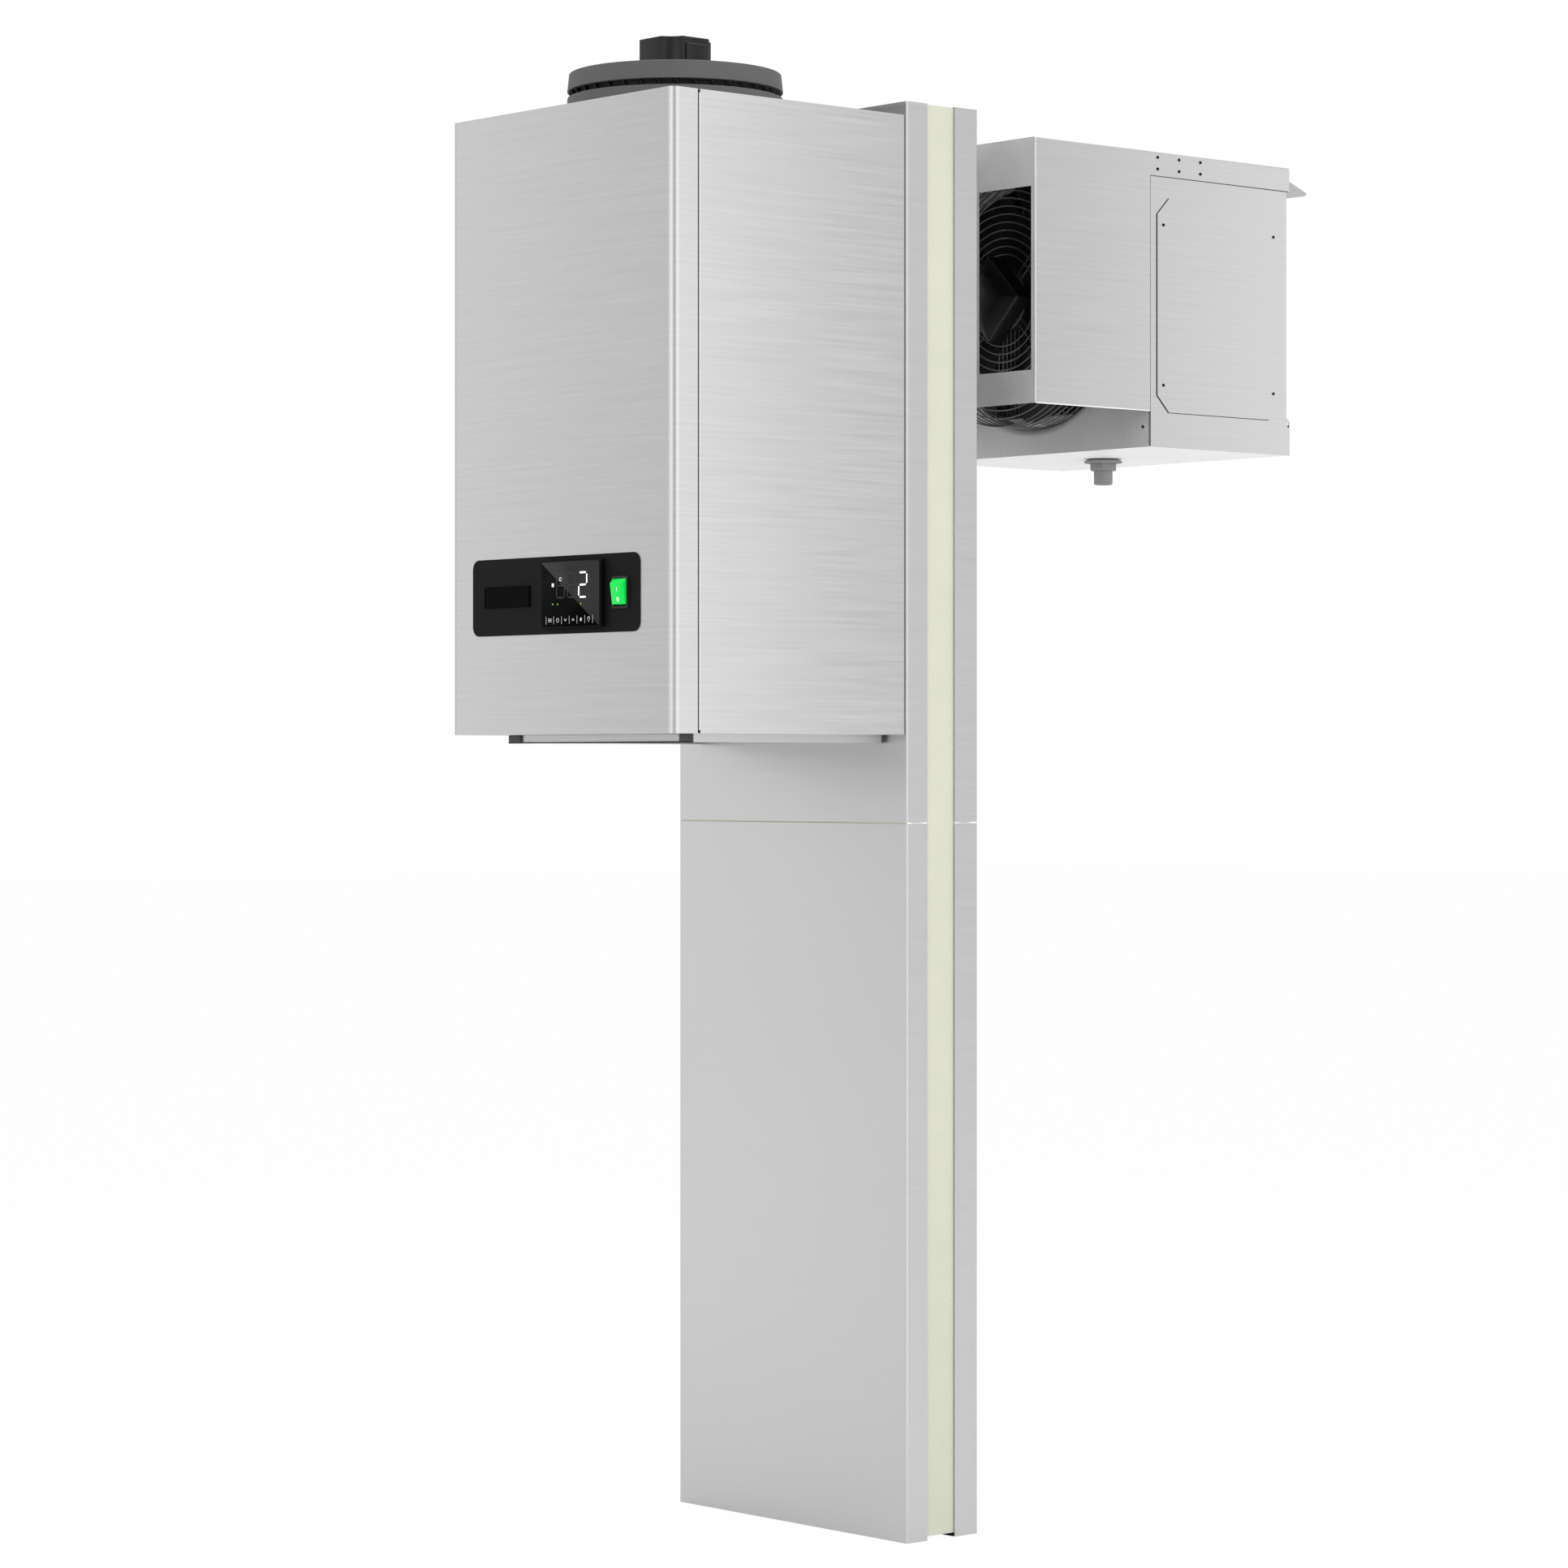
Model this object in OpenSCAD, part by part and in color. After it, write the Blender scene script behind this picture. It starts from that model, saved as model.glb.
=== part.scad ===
// Monoblock refrigeration unit, set in a length of insulated wall panel.
// The condensing side hangs outside, the evaporator hangs inside, and a neck joins them.
// X runs along the wall, Y from the outside to the cold side, Z up from the panel foot.

/* [Wall panel] */
// Width of the panel
panel_w = 436; // [432:1:520]
// Height of the panel
panel_h = 1778; // [1765:1:2100]
// Thickness of the panel
panel_t = 120; // [100:1:150]
// Height of the middle of the seam in both skins
seam_z = 888; // [600:1:960]
// Width of the seam
seam_gap = 2; // [1:0.5:4]
// Thickness of a skin
skin_t = 0.8; // [0.6:0.1:1.2]
// Outer radius of a skin's folds
skin_r = 2; // [1.5:0.1:4]
// Depth of the outer skin's edge flange
outer_flange = 34.5; // [25:0.5:38]
// Depth of the inner skin's edge flange
inner_flange = 39; // [25:0.5:42]
// Set-back of the foam at the panel edge
foam_recess = 2.5; // [1:0.5:6]
// Height of the foam above the panel foot
foam_lift = 5; // [1:0.5:12]

/* [Housing] */
// Width of the outside housing
box_w = 431; // [420:1:432]
// Depth of the housing from the wall
box_d = 373.5; // [360:0.5:420]
// Height of the housing
box_h = 764; // [750:1:768]
// Distance from the panel's top down to the housing's top
box_drop = 17; // [14:1:40]
// Thickness of the housing sheet
sheet_t = 1.2; // [0.8:0.1:1.6]
// Outer radius of the front cover's upright edges
corner_r = 10; // [6:0.5:14]
// Depth of the front cover's side flange
cover_flange = 39; // [30:1:50]
// Width of the seam between cover and side panel
cover_seam = 0.8; // [0.4:0.1:1.5]
// Outer radius of the small folds
fold_r = 3; // [2:0.1:4]
// Width of the side panel's folded edges
fold_w = 15; // [12:0.5:22]
// Size of the notch at each end of the cover seam
notch = 3; // [2:0.5:4]

/* [Air filter] */
// Width over both filter rails
rails_w = 356; // [340:1:370]
// Length of the filter and its rails
filter_l = 304; // [280:1:310]
// Height of the rails
rail_h = 10; // [9:0.5:14]
// Width of a rail
rail_w = 21; // [18:0.5:26]
// Distance from the wall to the rails
rail_back = 6; // [4:0.5:12]
// Width of the filter frame's bars
filter_bar = 16; // [12:0.5:20]
// Running clearance of the filter
filter_gap = 0.3; // [0.3:0.1:0.8]
// Thickness of the filter mesh
mesh_t = 3; // [2:0.5:4]

/* [Roof fan] */
// Outer radius of the collar at the roof
collar_r = 136; // [130:0.5:140]
// Height of the collar
collar_h = 24; // [20:0.5:30]
// Height of the slot between collar and ring
slot_h = 7.8; // [5:0.1:10]
// Outer radius of the ring at its top
ring_r = 131.5; // [128:0.5:134]
// Height of the ring
ring_h = 22.2; // [18:0.1:26]
// Draft of the ring and the collar on the radius
ring_draft = 2.4; // [0.5:0.1:3]
// Wall of the ring and the collar
ring_wall = 3; // [2:0.5:4]
// Inner radius of the fan throat
throat_r = 122; // [118:0.5:124]
// Tip radius of the roof impeller
roof_tip_r = 117; // [100:0.5:118]
// Number of ribs in the slot
rib_count = 30; // [12:1:36]

/* [Motors] */
// Width of a motor
motor_w = 80.5; // [72:0.5:86]
// Height of the roof motor above its guard
roof_motor_h = 43; // [36:1:50]
// Radius of the hollow corners of the roof motor
motor_flute_r = 19; // [12:0.5:20]
// Depth of the evaporator motor in front of its guard
cold_motor_h = 38; // [30:1:44]
// Radius of a motor shaft
shaft_r = 4; // [3:0.5:5]
// Radial running clearance of a shaft
shaft_gap = 0.05; // [0.03:0.01:0.1]
// Radius of an impeller hub
hub_r = 38; // [34:0.5:40]
// Depth of an impeller hub
hub_h = 34; // [28:1:36]
// Number of blades
blade_count = 7; // [5:1:9]

/* [Wire guards] */
// Thickness of a guard wire
wire = 2.6; // [2:0.1:3]
// Distance from ring to ring of a guard
ring_pitch = 10.6; // [9:0.1:14]
// Distance between the two wires of a spoke
spoke_gap = 9; // [7:0.5:12]

/* [Evaporator] */
// Width of the evaporator
evap_w = 429; // [424:1:431]
// Height of the evaporator, tray to roof
evap_h = 382.5; // [378:0.5:388]
// Distance from the panel's top down to the evaporator's roof
evap_drop = 23; // [18:1:40]
// Gap between the wall and the hood
hood_gap = 104.5; // [90:0.5:120]
// Depth of the hood
hood_d = 207.5; // [200:0.5:220]
// Height of the hood
hood_h = 336.5; // [330:0.5:342]
// Depth of the coil section behind the fan plate
coil_d = 260; // [250:0.5:270]
// Height of the hood's side strip over the coil section
strip_h = 31; // [26:0.5:36]
// Thickness of the evaporator sheet
evap_t = 1; // [0.8:0.1:1.2]
// Overhang of the roof in front of the side panels
roof_lip = 4.5; // [3:0.5:6]
// Height of the roof's front lip
lip_h = 15; // [10:0.5:18]
// Length of the air deflector
deflector_l = 45; // [35:1:60]
// Slope of the air deflector in degrees
deflector_slope = 20.5; // [15:0.5:30]
// Corner radius of the air deflector
deflector_r = 10; // [6:1:16]
// Width of a window in the hood's back plate
window_w = 96; // [80:1:98]
// Margin of the window above the hood's lower edge
window_foot = 42; // [36:0.5:60]
// Margin of the window at the side of the hood
window_side = 7.8; // [5:0.1:12]
// Margin of the window under the roof
window_top = 61.5; // [55:0.5:70]

/* [Evaporator fan] */
// Height of the fan's axis above the tray's underside
cold_fan_rise = 201.5; // [197:0.5:206]
// Outer radius of the wire guard
guard_r = 168; // [160:1:172]
// Distance of the guard's face in front of the fan plate
guard_stand = 59; // [50:1:64]
// Radius of the bell mouth's throat
bell_throat_r = 164; // [160:1:168]
// Radius of the bell mouth's lip
bell_lip_r = 13; // [10:0.5:14]
// Tip radius of the evaporator impeller
cold_tip_r = 158; // [140:1:159]

/* [Access covers] */
// Distance of the cover from the end of the side panel
cover_margin = 15.5; // [12:0.5:30]
// Height of an access cover
cover_h = 278; // [260:1:284]
// Height of the cover's lower edge above the tray's underside
cover_lift = 45.5; // [40:0.5:50]
// Distance of the cover from the fan plate
cover_inset = 13.5; // [10:0.5:18]
// Size of the cut corners
cover_cut = 21.5; // [14:0.5:26]
// Distance of the screws from the cover's ends
screw_inset_y = 11; // [8:0.5:14]
// Distance of the screws from the cover's upper and lower edges
screw_inset_z = 35; // [26:0.5:40]

/* [Drip tray] */
// Height of the tray's walls
tray_h = 38; // [34:0.5:38]
// Overhang of the tray in front of the side panels
tray_lip = 6.3; // [5:0.1:8]
// Thickness of the tray
tray_t = 1.5; // [1.2:0.1:2]
// Radius of the tray's hinge ears
ear_r = 2.7; // [2.4:0.1:2.8]
// Radius of the tray's hinge pins
pivot_r = 1.5; // [1.2:0.1:1.6]
// Height of the hinge axis above the tray's underside
pivot_h = 38.5; // [36:0.5:39]
// Travel of a pin along its slot in the side panel
slot_run = 4; // [2:0.5:5]
// Radius of the drain flange
drain_flange_r = 25.5; // [22:0.5:28]
// Width of the drain nut across flats
drain_nut_w = 36; // [32:1:40]
// Radius of the drain spigot
spigot_r = 12.5; // [11:0.5:14]
// Length of the drain spigot below its nut
spigot_l = 18.7; // [15:0.1:25]
// Radius of the drain bore
drain_bore_r = 9.5; // [7:0.5:10]

/* [Controls] */
// Width of the control plate
plate_w = 325; // [310:1:340]
// Height of the control plate
plate_h = 94.5; // [90:0.5:100]
// Thickness of the control plate
plate_t = 1.5; // [1:0.1:2.5]
// Corner radius of the control plate
plate_r = 12; // [8:0.5:16]
// Offset of the control plate from the middle of the housing
plate_x = -7.5; // [-10:0.5:10]
// Height of the controls above the housing's underside, in parts of the housing's height
controls_share = 0.2212; // [0.2:0.0001:0.235]
// Width of the controller
controller_w = 114; // [105:1:118]
// Height of the controller
controller_h = 81; // [76:1:86]
// Offset of the controller from the middle of the housing
controller_x = 33; // [28:1:38]
// Depth of the controller's front in front of the plate
controller_proud = 7.2; // [5:0.1:10]
// Depth of the controller behind the cover
controller_deep = 52; // [40:1:60]
// Thickness of the controller's glass
glass_t = 0.8; // [0.6:0.1:1.2]
// Width of the bare badge
badge_w = 90; // [80:1:94]
// Height of the bare badge
badge_h = 26; // [22:0.5:30]
// Thickness of the bare badge
badge_t = 2; // [1:0.5:3]
// Offset of the badge from the middle of the housing
badge_x = -99.5; // [-104:0.5:-94]
// Width of the switch frame
switch_w = 29.5; // [28:0.5:32]
// Height of the switch frame
switch_h = 38.5; // [38:0.5:42]
// Offset of the switch from the middle of the housing
switch_x = 120.8; // [116:0.1:126]
// Width of the rocker
rocker_w = 22; // [20:0.5:23]
// Tip radius of the rocker about its pivot
rocker_r = 16.4; // [15.5:0.1:16.4]
// Tilt of the rocker at rest in degrees
rocker_tilt = 10; // [6:0.5:12]

/* [Coils and compressor] */
// Number of fins in each coil
fin_count = 46; // [20:1:60]
// Outer radius of a coil tube
tube_r = 4.8; // [4:0.1:5]
// Distance between two tubes
tube_pitch = 25; // [22:0.5:28]
// Radius of the compressor shell
shell_r = 78; // [70:1:84]
// Height of the compressor shell
shell_h = 190; // [170:1:210]
// Radius of the liquid receiver
receiver_r = 40; // [34:1:44]
// Height of the liquid receiver
receiver_h = 165; // [140:1:180]
// Radius of the suction pipe
suction_r = 6; // [5:0.5:7]
// Radius of the liquid and discharge pipes
liquid_r = 4.8; // [4:0.1:5]
// Radius of the pipe bends
pipe_bend = 10; // [9.5:0.1:11]

/* [Neck] */
// Width of the neck through the wall
neck_w = 210; // [180:1:212]
// Height of the neck
neck_h = 260; // [240:1:262]
// Distance from the housing's top to the neck
neck_drop = 21; // [18:1:30]

/* [Cord gland] */
// Radius of the hole for the power cord
cord_r = 4.5; // [3:0.5:6]
// Radius of the gland's thread
gland_r = 8; // [7:0.5:10]
// Width of the gland's hexagon across flats
gland_hex = 22; // [20:1:26]

/* [Hidden] */
$fn = 64;

// Overrun of every cut past the face that it opens
over = 1;
// Clearance between pieces that lie side by side
gap = 0.3;

// Wall panel
wall_out = -panel_t / 2;
wall_in = panel_t / 2;

// Housing
box_front = wall_out - box_d;
box_top = panel_h - box_drop;
box_z = box_top - box_h;
box_half = box_w / 2;
inner_half = box_half - sheet_t;
cover_back = box_front + cover_flange;
rear_y = wall_out - 2 * sheet_t;
rear_half = box_half - fold_r;
interior_front = box_front + sheet_t;

// Neck
neck_z = box_top - neck_drop - neck_h;

// Air filter
rail_y0 = wall_out - rail_back - filter_l;
rail_y1 = wall_out - rail_back;
rail_lip_t = 1.2;
rail_lip_w = 7;
rail_wall = rail_w - rail_lip_w;
filter_half = rails_w / 2 - rail_wall - filter_gap;
filter_z0 = box_z - rail_h + rail_lip_t + filter_gap;
filter_z1 = box_z - filter_gap;
mesh_rows = 9;
mesh_cols = 10;
mesh_wire = 2;
inlet_edge = 4;

// Roof fan
box_mid = wall_out - box_d / 2;
fan_shift = 3;
fan_y = box_mid - fan_shift;
slot_z = box_top + collar_h;
ring_z = slot_z + slot_h;
ring_top = ring_z + ring_h;
ring_roof = 2;
roof_guard_z = ring_top - ring_roof - wire / 2;
throat_depth = 12;
roof_hub_z = roof_guard_z - wire - gap - hub_h;
rib_w = 3;
rib_l = 6.5;
rib_slant = 35;

// Blades
hub_in_throat = 8;
blade_sink = 1.5;
blade_root = hub_r - blade_sink;
blade_sweep = 26;
blade_chord = 40;
roof_blade_h = 26;
roof_blade_tip_h = 16;
cold_blade_h = 30;
cold_blade_tip_h = 18;
blade_half_t = 1.1;
blade_stations = 6;
blade_steps = 5;

// Evaporator
evap_top = panel_h - evap_drop;
evap_z = evap_top - evap_h;
cold_fan_z = evap_z + cold_fan_rise;
hood_y = wall_in + hood_gap;
plate_y = hood_y + hood_d;
coil_end = plate_y + coil_d;
lip_y = coil_end + roof_lip;
hood_z = evap_top - hood_h;
strip_z = evap_top - strip_h;
evap_half = evap_w / 2;
panel_half = evap_half - evap_t;
coil_half = panel_half - evap_t;
plate_t2 = 1.2;
plate_slit = 1.6;
guard_y = plate_y - guard_stand;
cold_hub_y = plate_y + hub_in_throat - hub_h;
bell_r = bell_throat_r + bell_lip_r;
window_x1 = evap_half - window_side;
window_x0 = window_x1 - window_w;
window_z1 = evap_top - window_top;
window_z0 = hood_z + window_foot;

// Access covers and drip tray
cover_y0 = plate_y + cover_inset;
cover_y1 = coil_end - cover_margin;
cover_z0 = evap_z + cover_lift;
cover_z1 = cover_z0 + cover_h;
tray_back_gap = 0.9;
tray_side_gap = 0.6;
tray_y0 = plate_y + plate_t2 + tray_back_gap;
tray_y1 = coil_end + tray_lip;
tray_z1 = evap_z + tray_h;
tray_half = coil_half - tray_side_gap;
pivot_y = tray_y1 - ear_r;
pivot_z = evap_z + pivot_h;
shoulder_z = pivot_z + slot_run;
notch_half = sqrt(bell_r * bell_r - (cold_fan_z - tray_z1) * (cold_fan_z - tray_z1)) + fold_w;
tray_back_h = tray_h / 2;
pivot_gap = 0.1;
drain_shift = 4.5;
drain_y = (tray_y0 + tray_y1) / 2 - drain_shift;
drain_flange_t = 6;
drain_nut_t = 9.8;

// Controls
controls = box_z + controls_share * box_h;
plate_front = box_front - plate_t;
bezel_edge = 5;
glass_edge = 2;
switch_proud = 2.2;
switch_deep = 26;
switch_wall = 2.5;
pivot_depth = 3;
rocker_y = plate_front - switch_proud + pivot_depth;
rocker_crown = 3.2;
rocker_back = 7;
rocker_heel = 8;
rocker_pin_r = 1.5;
rocker_pin_l = 1.2;

// Cord gland
gland_back = 50;
gland_lift = 43;

// Inside the housing
shelf_share = 0.315;
shelf_t = 2;
shelf_front_gap = 34;
shelf_back_gap = 8;
shelf_z = box_z + shelf_share * box_h;
shelf_y0 = interior_front + shelf_front_gap;
shelf_y1 = rear_y - shelf_back_gap;
shelf_fold = 20;
floor_z = shelf_z + shelf_t;
compressor_x = -70;
compressor_shift = 12;
compressor_y = box_mid + compressor_shift;
mount_h = 12;
mount_r = 11;
mount_half = 84;
feet_t = 3;
shell_z = floor_z + mount_h + feet_t;
shell_dome = 40;
stub_r = 9;
stub_l = 7;
receiver_x = 118;
receiver_shift = 92;
receiver_y = box_mid + receiver_shift;
drier_r = 16;
drier_l = 90;
drier_x = 60;
drier_front = 30;
ebox_lift = 98;
ebox_d = 84;
ebox_z = box_z + ebox_lift;
ebox_back = interior_front + ebox_d;
ebox_t = 1.2;
ebox_half = inner_half - fold_w - gap;

// Condenser coil
cond_side_gap = 34.3;
cond_half = inner_half - cond_side_gap;
cond_front_gap = 22;
cond_back_gap = 52;
cond_drop = 165;
cond_y0 = interior_front + cond_front_gap;
cond_y1 = rear_y - cond_back_gap;
cond_z0 = box_top - cond_drop;
cond_h = 90;
fin_slot_share = 0.6;
fin_slot_d = 8;
end_t = 1.5;

// Evaporator coil
evap_fin_half = 178;
evap_fin_gap = 38;
evap_fin_d = 100;
evap_fin_lift = 16;
evap_fin_y0 = plate_y + evap_fin_gap;
evap_fin_y1 = evap_fin_y0 + evap_fin_d;
evap_fin_z0 = tray_z1 + evap_fin_lift;
evap_fin_z1 = evap_top - evap_t;
grille_inset = 22;
grille_lift = 12;
grille_y = coil_end - grille_inset;
grille_t = 8;
grille_bar = 10;
louvre_count = 14;
louvre_t = 1.6;

// Pipes
pipe_drop = 18;
pipe_back_gap = 24;
pipe_side_gap = 17;
pipe_turn = 22;
pipe_x = 60;
pipe_z = neck_z + neck_h - pipe_drop;
pipe_y = rear_y - pipe_back_gap;
pipe_side = evap_fin_half + end_t + pipe_side_gap;
pipe_turn_y = hood_y + pipe_turn;

// Screws
screw_r = 2;
screw_h = 1.2;
hood_screw_y = 13.8;
hood_screw_pitch = 39.9;
hood_screw_z = 7.2;
hood_screw_drop = 15.1;
foot_screw_x = 11;
foot_screw_z = 26;

dark_steel = [0.62, 0.63, 0.64];
black = [0.08, 0.08, 0.085];
grey = [0.4, 0.4, 0.41];
copper = [0.72, 0.42, 0.27];
cream = [0.87, 0.88, 0.81];

// A block between its lowest and its highest corner
module block(lo, hi) {
    translate(lo) cube(hi - lo);
}

// The children, and the children mirrored to the other side of the unit
module both_sides() {
    children();
    mirror([1, 0, 0]) children();
}

// A quarter ring from +X round to +Y
module bend(r, t) {
    intersection() {
        difference() {
            circle(r = r);
            circle(r = r - t);
        }
        square([r, r]);
    }
}

// A sheet folded to a U: the base lies on X, and the legs rise along Y to d
module u_profile(w, d, r, t) {
    translate([-w / 2 + r, 0]) square([w - 2 * r, t]);
    for (side = [0, 1])
        mirror([side, 0]) {
            translate([w / 2 - r, r]) rotate(-90) bend(r, t);
            translate([w / 2 - t, r]) square([t, d - r]);
        }
}

// The filled outline of a folded U
module u_filled(w, d, r) {
    translate([-w / 2, r]) square([w, d - r]);
    translate([-w / 2 + r, 0]) square([w - 2 * r, r]);
    for (side = [-1, 1])
        translate([side * (w / 2 - r), r]) circle(r = r);
}

// A rectangle with round corners, centred
module round_rect(w, h, r) {
    square([w - 2 * r, h], center = true);
    square([w, h - 2 * r], center = true);
    for (x = [-1, 1], z = [-1, 1])
        translate([x * (w / 2 - r), z * (h / 2 - r)]) circle(r = r);
}

// A flat shape stood up in XZ: its front lies at y, and it is t thick towards the cold side
module stand(y, t) {
    translate([0, y + t, 0]) rotate([90, 0, 0]) linear_extrude(t) children();
}

// A flat shape drawn in YZ, extruded from x0 to x1
module along_x(x0, x1) {
    translate([x0, 0, 0]) rotate([90, 0, 90]) linear_extrude(x1 - x0) children();
}

// A hexagon prism on Z, w across flats
module hex(w, h) {
    cylinder(r = w / 2 / cos(30), h = h, $fn = 6);
}

// A rod from one point to another along Y
module rod_y(x, z, y0, y1, r) {
    translate([x, y1, z]) rotate([90, 0, 0]) cylinder(r = r, h = y1 - y0);
}

// A skin of the wall panel from z0 to z1, with a closed foot or head
module skin(flange, z0, z1, foot, head) {
    translate([0, wall_out, z0]) linear_extrude(z1 - z0) u_profile(panel_w, flange, skin_r, skin_t);
    if (foot)
        translate([0, wall_out, z0]) linear_extrude(skin_t) u_filled(panel_w, flange, skin_r);
    if (head)
        translate([0, wall_out, z1 - skin_t]) linear_extrude(skin_t) u_filled(panel_w, flange, skin_r);
}

// The cut-out in the wall for the neck
module neck_cut(y0, y1) {
    block([-neck_w / 2 - gap, y0, neck_z], [neck_w / 2 + gap, y1, neck_z + neck_h + gap]);
}

module outer_skin_lower() {
    color("silver") skin(outer_flange, 0, seam_z - seam_gap / 2, true, false);
}

module outer_skin_upper() {
    color("silver")
        difference() {
            skin(outer_flange, seam_z + seam_gap / 2, panel_h, false, true);
            neck_cut(wall_out - over, wall_out + skin_t + over);
        }
}

module inner_skin_lower() {
    color("silver") mirror([0, 1, 0]) skin(inner_flange, 0, seam_z - seam_gap / 2, true, false);
}

module inner_skin_upper() {
    color("silver")
        difference() {
            mirror([0, 1, 0]) skin(inner_flange, seam_z + seam_gap / 2, panel_h, false, true);
            neck_cut(wall_in - skin_t - over, wall_in + over);
        }
}

module foam_core() {
    half = panel_w / 2 - foam_recess;
    color(cream)
        difference() {
            block([-half, wall_out + skin_t, foam_lift], [half, wall_in - skin_t, panel_h - skin_t]);
            neck_cut(wall_out, wall_in);
        }
}

// The outside of the neck, from y0 to y1, drawn in by inset
module neck_solid(y0, y1, inset) {
    block([-neck_w / 2 + inset, y0, neck_z + inset], [neck_w / 2 - inset, y1, neck_z + neck_h - inset]);
}

module neck_casing() {
    color("silver")
        difference() {
            neck_solid(rear_y, hood_y, 0);
            neck_solid(rear_y - over, hood_y + over, sheet_t);
        }
}

module neck_foam() {
    color(cream)
        difference() {
            neck_solid(rear_y, hood_y, sheet_t);
            rod_y(pipe_x, pipe_z, rear_y - over, hood_y + over, liquid_r + gap);
            rod_y(-pipe_x, pipe_z, rear_y - over, hood_y + over, suction_r + gap);
        }
}

module wall_gasket() {
    edge = 20;
    color(black)
        difference() {
            block([-neck_w / 2 - edge, wall_out - sheet_t, neck_z - edge],
                  [neck_w / 2 + edge, wall_out, neck_z + neck_h + edge / 2]);
            neck_solid(wall_out - sheet_t - over, wall_out + over, 0);
        }
}

// A rectangular cut through the cover and the control plate, at a place on the control face
module face_cut(x, w, h) {
    block([x - w / 2, plate_front - over, controls - h / 2],
          [x + w / 2, interior_front + over, controls + h / 2]);
}

// The holes that the controller and the switch pass through
module control_cuts() {
    face_cut(controller_x, controller_w - 2 * bezel_edge + gap, controller_h - 2 * bezel_edge + gap);
    face_cut(switch_x, rocker_w + 2 * switch_wall + gap, 2 * rocker_r + 2 * switch_wall / 2 + gap);
}

module front_cover() {
    color("silver")
        difference() {
            translate([0, box_front, box_z]) linear_extrude(box_h)
                u_profile(box_w, cover_flange, corner_r, sheet_t);
            control_cuts();
        }
}

// The right side panel, folded in at its front and at the wall
module side_panel() {
    length = wall_out - cover_back - cover_seam;
    difference() {
        translate([box_half, cover_back + cover_seam + length / 2, box_z])
            rotate([0, 0, 90])
                linear_extrude(box_h) u_profile(length, fold_w, fold_r, sheet_t);
        for (z = [box_z, box_top - notch])
            block([inner_half - over, cover_back, z - over],
                  [box_half + over, cover_back + cover_seam + notch, z + notch + over]);
    }
}

module side_panel_right() {
    color("silver") side_panel();
}

module side_panel_left() {
    color("silver")
        difference() {
            mirror([1, 0, 0]) side_panel();
            gland_at() cylinder(r = gland_r + gap, h = 4 * sheet_t, center = true);
        }
}

// A level plate that fills the housing between its walls
module level_plate(z, t) {
    r = corner_r - sheet_t;
    translate([0, interior_front, z])
        linear_extrude(t) u_filled(2 * inner_half, cover_flange - sheet_t, r);
    block([-inner_half + fold_w, cover_back - over, z], [inner_half - fold_w, rear_y - sheet_t, z + t]);
    block([-inner_half, cover_back + cover_seam + fold_r, z],
          [inner_half, wall_out - fold_r - sheet_t, z + t]);
}

module top_plate() {
    color("silver")
        difference() {
            level_plate(box_top - sheet_t, sheet_t);
            translate([0, fan_y, box_top - sheet_t - over])
                cylinder(r = throat_r + ring_wall + gap, h = sheet_t + 2 * over);
            fold_clearance(box_top - sheet_t, box_top);
        }
}

// The space of the side panels' front folds, cut from what reaches the panels between z0 and z1
module fold_clearance(z0, z1) {
    both_sides()
        block([inner_half - fold_w - gap, cover_back, z0 - over],
              [inner_half + over, cover_back + cover_seam + fold_r + gap, z1 + over]);
}

module rear_plate() {
    color("silver")
        difference() {
            block([-rear_half, rear_y, box_z + sheet_t], [rear_half, rear_y + sheet_t, box_top - sheet_t]);
            neck_solid(rear_y - over, wall_out, 0);
        }
}

module base_plate() {
    half = filter_half - filter_bar + inlet_edge;
    color("silver")
        difference() {
            level_plate(box_z, sheet_t);
            block([-half, rail_y0 + filter_bar - inlet_edge, box_z - over],
                  [half, rail_y1 - filter_bar + inlet_edge, box_z + sheet_t + over]);
            fold_clearance(box_z, box_z + sheet_t);
        }
}

module inlet_rails() {
    outer = rails_w / 2;
    z0 = box_z - rail_h;
    color(grey)
        both_sides()
            along_y(rail_y0, rail_y1)
                union() {
                    translate([outer - rail_wall, z0]) square([rail_wall, rail_h]);
                    translate([outer - rail_w, z0]) square([rail_w, rail_lip_t]);
                }
}

// A flat shape drawn in XZ, extruded from y0 to y1
module along_y(y0, y1) {
    translate([0, y1, 0]) rotate([90, 0, 0]) linear_extrude(y1 - y0) children();
}

module filter_frame() {
    color("silver")
        difference() {
            block([-filter_half, rail_y0, filter_z0], [filter_half, rail_y1, filter_z1]);
            block([-filter_half + filter_bar, rail_y0 + filter_bar, filter_z0 - over],
                  [filter_half - filter_bar, rail_y1 - filter_bar, filter_z1 + over]);
        }
}

module filter_mesh() {
    half = filter_half - filter_bar;
    y0 = rail_y0 + filter_bar;
    y1 = rail_y1 - filter_bar;
    z0 = (filter_z0 + filter_z1 - mesh_t) / 2;
    cell_x = 2 * half / mesh_cols;
    cell_y = (y1 - y0) / mesh_rows;
    color(dark_steel)
        difference() {
            block([-half, y0, z0], [half, y1, z0 + mesh_t]);
            for (i = [0:mesh_cols - 1], j = [0:mesh_rows - 1])
                translate([-half + i * cell_x + mesh_wire / 2, y0 + j * cell_y + mesh_wire / 2, z0 - over])
                    cube([cell_x - mesh_wire, cell_y - mesh_wire, mesh_t + 2 * over]);
        }
}

// A screw head with a recess, standing on z = 0
module screw_head() {
    difference() {
        cylinder(r = screw_r, h = screw_h, $fn = 24);
        translate([0, 0, screw_h / 2]) cylinder(r = screw_r / 2, h = screw_h, $fn = 6);
    }
}

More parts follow.
